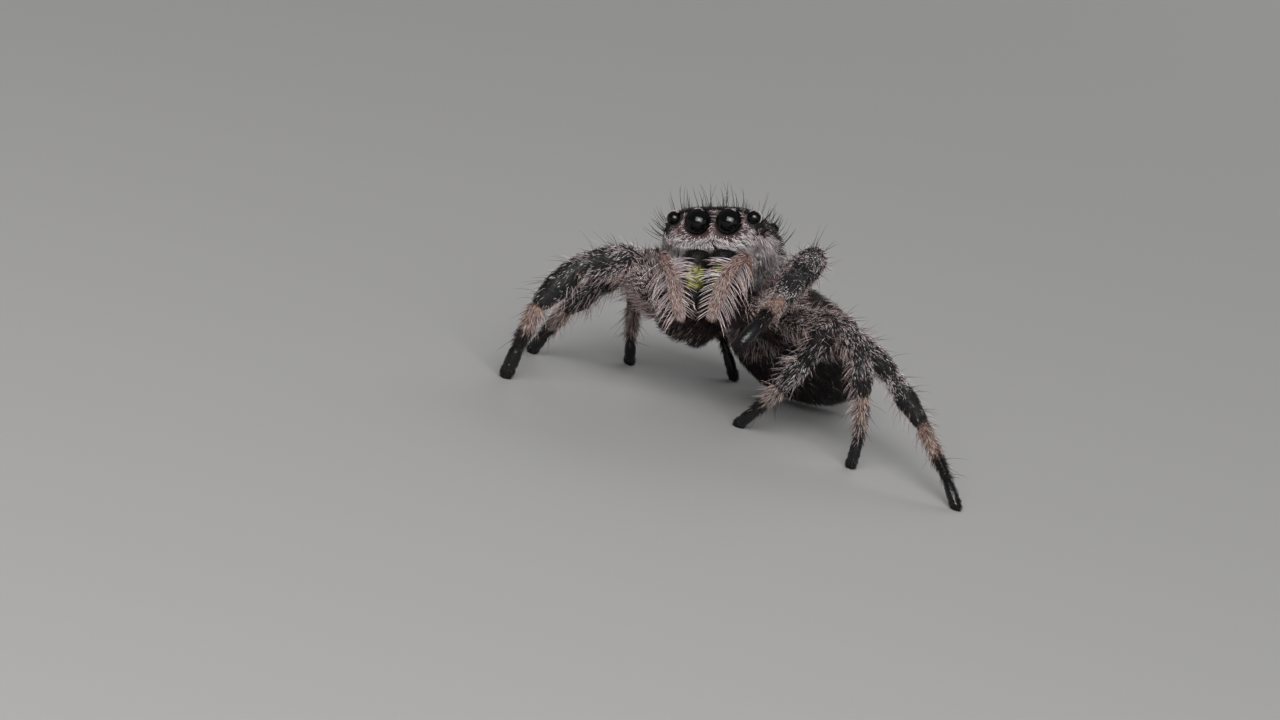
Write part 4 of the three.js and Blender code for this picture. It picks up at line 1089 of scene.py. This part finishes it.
# face: hair flows outwards from the middle and hangs over the mouth's edge; it parts round the eyes
faceCoat = {
    "hairs": 8100, "length": 0.2, "eyeRoom": 0.035,
    "nearEye": 0.16,                                     # how far from an eye the hair turns round it, mm
    "hair": {"width": 0.02, "rise": (14, 0.4), "settle": 3, "sway": 0.1},
    "rings": {"front_middle": 170, "front_side": 70},
    "ringHair": {"length": (0.07, 0.2), "width": 0.017, "rise": 8, "settle": 4,
                 "tint": {"cream": 2, "mauve": 2, "rust": 1}},
}


def faceDensity(share, angle, root):
    # thinner behind the face, and up to 1.8 times as dense at the middle line
    middle = smoothStep(0.3, 0.0, np.abs(headLocal(root)[:, 0]))
    return (1.0 - 0.7 * smoothStep(0.26, 0.42, share)) * (1 + 0.8 * middle)


roots, n = sown(carapaceSurface, faceCoat["hairs"], (0.0, 0.42), ["carapace"], density=faceDensity,
                eyeRoom=faceCoat["eyeRoom"])
x, y, z = headLocal(roots["root"]).T
level = smoothStep(-0.3, -0.14, z)                       # 1 at the level of the eyes, 0 below them
hang = smoothStep(-0.36, -0.5, z) * smoothStep(0.95, 0.6, np.abs(x))
cheek = smoothStep(0.55, 0.95, np.abs(x)) * smoothStep(-0.05, -0.3, z)
aside = np.tanh(x / 0.12) * (0.5 + 0.5 * np.minimum(np.abs(x), 1)) * (1 - 0.6 * hang) * (1 - 0.7 * cheek)
flow = np.stack([aside + 0.35 * hang, 0.7 * smoothStep(0.0, 0.3, y),
                 -0.22 - 0.35 * hang - 0.8 * cheek + 0.5 * level], -1)
nearEye = np.zeros(n)
for name in faceCoat["rings"]:
    ex, _, ez = eyes[name]["place"]
    away = np.stack([x - np.sign(x) * ex, 0 * x, z - ez], -1)
    reach = np.linalg.norm(away, axis=1)
    close = 1 - smoothStep(eyes[name]["radius"], eyes[name]["radius"] + faceCoat["nearEye"], reach)
    swirl = np.stack([-away[:, 2], 0 * x, away[:, 0]], -1) * np.sign(x)[:, None]
    flow = flow * (1 - close[:, None]) + close[:, None] * (1.2 * away + 0.5 * swirl) / reach[:, None]
    nearEye = np.maximum(nearEye, close)
roots["lie"] = flow @ bodyTurn.T
# the lip's and the cheeks' hair stands a little forwards
roots["out"] = unit(roots["out"] + (0.4 * hang + 0.3 * cheek)[:, None] * front)
roots = ruffled(roots, 0.07, 0.4)
corner = smoothStep(0.98, 1.08, np.abs(x)) * smoothStep(-0.12, 0.0, z)
topEdge = np.maximum(smoothStep(0.24, 0.31, z), corner)
gaps = smoothStep(0.0, 0.7, ripple(roots["root"], 0.14))
tint = mixTint({"mauve": 6 * (1 - 0.4 * level), "white": (6 + 24 * hang) * (1 - 0.75 * level),
                "rust": 0.3 + 3 * level * (1 - topEdge), "brown": 0.6 + 1.2 * level,
                "dark": 0.5 + 1.2 * gaps * (1 - hang) + 90 * topEdge}, n)
longer = 1 + 0.35 * smoothStep(0.1, 0.5, y) + 0.12 * hang
length = around(faceCoat["length"], 0.3, n) * (1 - 0.55 * nearEye) * longer
# painted light: hair near the eyes gets lighter roots, lifting the shadow that the eyeballs cast on the face
# below them
faceSets = [hairs(roots, length, tint=tint, chart=10, paintedRootShade=0.3 + 0.3 * nearEye, **faceCoat["hair"])]

# a thin pale ring of tiny hairs edges each front eye
for name, count in faceCoat["rings"].items():
    for side in (-1, 1):
        turn = np.linspace(0, 2 * np.pi, count, endpoint=False) + rng.normal(0, 0.01, count)
        c, s = np.cos(turn), np.sin(turn)
        radial = np.stack([c, 0 * turn, s], -1)
        tangent = np.stack([-s, 0 * turn, c], -1) * np.where(c * side > 0, -1, 1)[:, None]
        centre = np.array(eyes[name]["place"]) * (side, 1, 1) - (0, 0.02, 0)
        ring = {"root": bodyToFloor(centre + radial * (eyes[name]["radius"] + 0.022)), "share": turn / 7,
                "angle": turn, "out": unit(radial - (0, 0.6, 0)) @ bodyTurn.T,
                "lie": (tangent + 0.25 * radial) @ bodyTurn.T}
        faceSets.append(hairs(ring, chart=27, **faceCoat["ringHair"]))


def tuft(count, shares, angles, way, room=0.02, side=1, **shape):
    # hairs that spring from one patch of the head and lean one way, given in the head's frame and mirrored
    # by side
    angles = np.radians(sorted(side * a for a in angles))
    roots, n = sown(carapaceSurface, count, shares, ["carapace"], angles=angles, eyeRoom=room)
    roots["lie"] = (np.array(way) * (side, 1, 1)) @ bodyTurn.T + 0.25 * rng.normal(size=(n, 3))
    return hairs(roots, tint={"dark": 1}, sway=0.25, chart=10, **shape)


# the crown: a dense black edge over the eyes, fine upright hairs, and a few long ones
crown = [
    {"count": 4200, "shares": (0.19, 0.28), "angles": (-66, 66), "way": (0, -0.3, 0.6), "room": 0.005,
     "length": [0.05, 0.11], "width": 0.022, "rise": [30, 70], "settle": 40, "rings": 2},
    {"count": 90, "shares": (0.2, 0.26), "angles": (-62, 62), "way": (0, -0.3, 1),
     "length": [0.12, 0.26], "width": 0.014, "rise": [70, 88], "settle": 70, "rings": 3},
    {"count": 36, "shares": (0.2, 0.3), "angles": (-60, 60), "way": (0, -0.5, 1),
     "length": [0.35, 0.75], "width": 0.021, "rise": [66, 85], "settle": 50, "rings": 5},
]
# lashes beside the eyes: a dense edge, then long hairs from the front, the side and the rear
lashes = [
    {"count": 700, "shares": (0.19, 0.26), "angles": (64, 104), "way": (0.3, -0.8, 0.4), "room": 0.005,
     "length": [0.06, 0.12], "width": 0.022, "rise": [30, 70], "settle": 40, "rings": 2},
    {"count": 14, "shares": (0.2, 0.24), "angles": (50, 70), "way": (0.6, -0.3, 1),
     "length": [0.45, 0.8], "width": 0.028, "rise": [60, 80], "settle": 40, "rings": 5},
    {"count": 20, "shares": (0.2, 0.27), "angles": (78, 106), "way": (0.8, -0.2, 0.7),
     "length": [0.4, 0.75], "width": 0.026, "rise": [50, 75], "settle": 25, "rings": 5},
    {"count": 20, "shares": (0.4, 0.54), "angles": (58, 88), "way": (0.8, -0.4, 0.9),
     "length": [0.35, 0.65], "width": 0.026, "rise": [50, 75], "settle": 30, "rings": 5},
]
faceSets += [tuft(**row) for row in crown]
faceSets += [tuft(side=side, **row) for side in (-1, 1) for row in lashes]
coatPiece("faceCoat", faceSets)

# back of the head and the thorax: hair lies backwards, black above with pale sides and thin dark partings
thoraxCoat = {
    "hairs": 11000, "shares": (0.26, 0.995), "length": 0.19, "rise": 18, "cheek": {"length": 0.07, "rise": 6},
    "light": {"mauve": 4, "white": 4, "rust": 0.4}, "dark": {"dark": 5, "grey": 1},
    "hair": {"width": 0.023, "settle": 4, "sway": 0.2, "paintedRootShade": 0.25},
}
roots, n = sown(carapaceSurface, thoraxCoat["hairs"], thoraxCoat["shares"], ["carapace"], 0.2)
x, y, z = headLocal(roots["root"]).T
sides = smoothStep(0.0, -0.22, z) * (0.8 + 0.2 * ripple(roots["root"], 0.4))
eyeField = smoothStep(0.1, 0.3, z) * smoothStep(1.7, 1.4, y)
strands = 1 - 0.35 * smoothStep(0.2, 0.8, ripple(roots["root"], 0.14))
cheek = sides * smoothStep(1.5, 0.5, y)
pale = np.clip(0.1 + 0.86 * sides * strands - 0.08 * eyeField, 0.02, 0.95)
tint = palette(pale, thoraxCoat["light"], thoraxCoat["dark"], n)
roots["lie"] = roots["lie"] - 0.9 * (sides * smoothStep(1.4, 0.4, y))[:, None] * bodyTurn[:, 2]
roots["out"] = unit(roots["out"] + (0.5 * cheek)[:, None] * front)
length, rise = (thoraxCoat[key] + thoraxCoat["cheek"][key] * cheek for key in ("length", "rise"))
short = hairs(roots, (length, 0.35), rise=(rise, 0.5), tint=tint, chart=11, **thoraxCoat["hair"])
coatPiece("thoraxCoat", [short])

# abdomen: black, with a pale band in front, one middle spot and pairs of small pale spots, whose places are
# shares of the half width and of the length
abdomenCoat = {
    "hairs": 12000, "halves": ((0.002, 0.5), (0.5, 0.985)), "middle": 0.52,
    "spots": ((0.36, 0.33), (0.34, 0.66), (0.26, 0.79)),
    "light": {"pale": 3, "white": 1, "rust": 2}, "dark": {"dark": 14, "brown": 1},
    "hair": {"length": (0.22, 0.4), "width": 0.026, "rise": (28, 0.5), "settle": 6, "sway": 0.25},
}


def abdomenPale(local):
    # 1 inside the band or a spot, falling to 0 at its edge
    half, length, _ = spider["abdomen"]
    x, y = local[:, 0] / half, local[:, 1] / length
    band = smoothStep(0.2, 0.1, y + 0.05 * x * x)
    middle = smoothStep(0.13, 0.08, np.hypot(x * 0.9, (y - abdomenCoat["middle"]) * 1.6))
    pairs = [smoothStep(0.09, 0.05, np.hypot(np.abs(x) - px, (y - py) * 1.8))
             for px, py in abdomenCoat["spots"]]
    return np.clip(0.7 * band + (middle + sum(pairs)) * (local[:, 2] > -0.3), 0, 1)


for part, shares in enumerate(abdomenCoat["halves"]):
    roots, n = sown(abdomenSurface, abdomenCoat["hairs"], shares, ["abdomen"], 0.2, 0.8)
    pale = abdomenPale((roots["root"] - abdomenFront) @ abdomenTurn)
    tint = palette(np.clip(0.03 + 0.85 * pale, 0, 1), abdomenCoat["light"], abdomenCoat["dark"], n)
    short = hairs(roots, tint=tint, chart=12 + part, **abdomenCoat["hair"])
    coatPiece(f"abdomenCoat_{part + 1}", [short])
print("the coat has", sum(coatTotal), "triangles")

# floor, light and camera
studio = {"floorHalf": 1.5, "floor": "#939291", "world": "#C8CACC", "worldPower": 0.24}
floorMesh = bpy.data.meshes.new("floor")
half = studio["floorHalf"]
floorMesh.from_pydata([(-half, -half, 0), (half, -half, 0), (half, half, 0), (-half, half, 0)],
                      [], [(0, 1, 2, 3)])
floor = bpy.data.objects.new("floor", floorMesh)
bpy.context.scene.collection.objects.link(floor)
# matt emulsion on a board, which shows no gleam
floorMesh.materials.append(newMaterial("mattPaint", Base_Color=studio["floor"], Roughness=0.9)[0])

# eyesRight and eyesUp: where the eyes lie from the middle of the picture, mm
cameraShape = {"roll": 16, "elevation": 12, "distance": 150, "lens": 194.06, "eyesRight": 1.587,
               "eyesUp": 3.011}


def aim(name, data, toward, place, roll=0.0):
    # an object that looks along one direction from a place given in metres, turned about that direction
    holder = bpy.data.objects.new(name, data)
    bpy.context.scene.collection.objects.link(holder)
    back = unit(-np.asarray(toward, float))
    right = unit(np.cross(up, back))
    upper = np.cross(back, right)
    turn = np.radians(roll)
    right, upper = right * np.cos(turn) + upper * np.sin(turn), upper * np.cos(turn) - right * np.sin(turn)
    holder.matrix_world = Matrix(np.vstack([np.c_[right, upper, back, place], [0, 0, 0, 1]]).tolist())
    return holder, right, upper


camera = bpy.data.cameras.new("camera")
camera.lens, camera.sensor_width = cameraShape["lens"], 36
camera.clip_start, camera.clip_end = 0.005, 10
tilt = np.radians(cameraShape["elevation"])
forward = np.array([0, np.cos(tilt), -np.sin(tilt)])
holder, right, upper = aim("camera", camera, forward, (0, 0, 0), cameraShape["roll"])
eyesAt = bodyToFloor([0, 0, 0]) + shift
holder.location = (eyesAt - cameraShape["eyesRight"] * right - cameraShape["eyesUp"] * upper
                   - cameraShape["distance"] * forward) * 0.001
bpy.context.scene.camera = holder

softLights = {
    "key": {"way": (-0.01, -0.82, 0.58), "distance": 0.2, "size": (0.2, 0.13), "power": 0.5},
    "core": {"way": (0.0, -0.84, 0.55), "distance": 0.195, "size": (0.07, 0.05), "power": 0.13},
    "rim": {"way": (0.3, 0.85, 0.45), "distance": 0.2, "size": (0.14, 0.08), "power": 0.12},
    "fill": {"way": (0.6, -0.75, 0.1), "distance": 0.25, "size": (0.3, 0.3), "power": 0.12},
}
for name, light in softLights.items():
    data = bpy.data.lights.new(name, "AREA")
    data.shape = "RECTANGLE"
    data.size, data.size_y = light["size"]
    data.energy = light["power"]
    way = unit(np.array(light["way"]))
    aim(name, data, -way, eyesAt * 0.001 + way * light["distance"])
world = bpy.data.worlds.new("studio")
world.use_nodes = True
sky = world.node_tree.nodes["Background"].inputs
sky["Color"].default_value = (*linear(studio["world"]), 1)
sky["Strength"].default_value = studio["worldPower"]
bpy.context.scene.world = world
bpy.context.scene.view_settings.view_transform = "Standard"
print("set floor, light and camera")
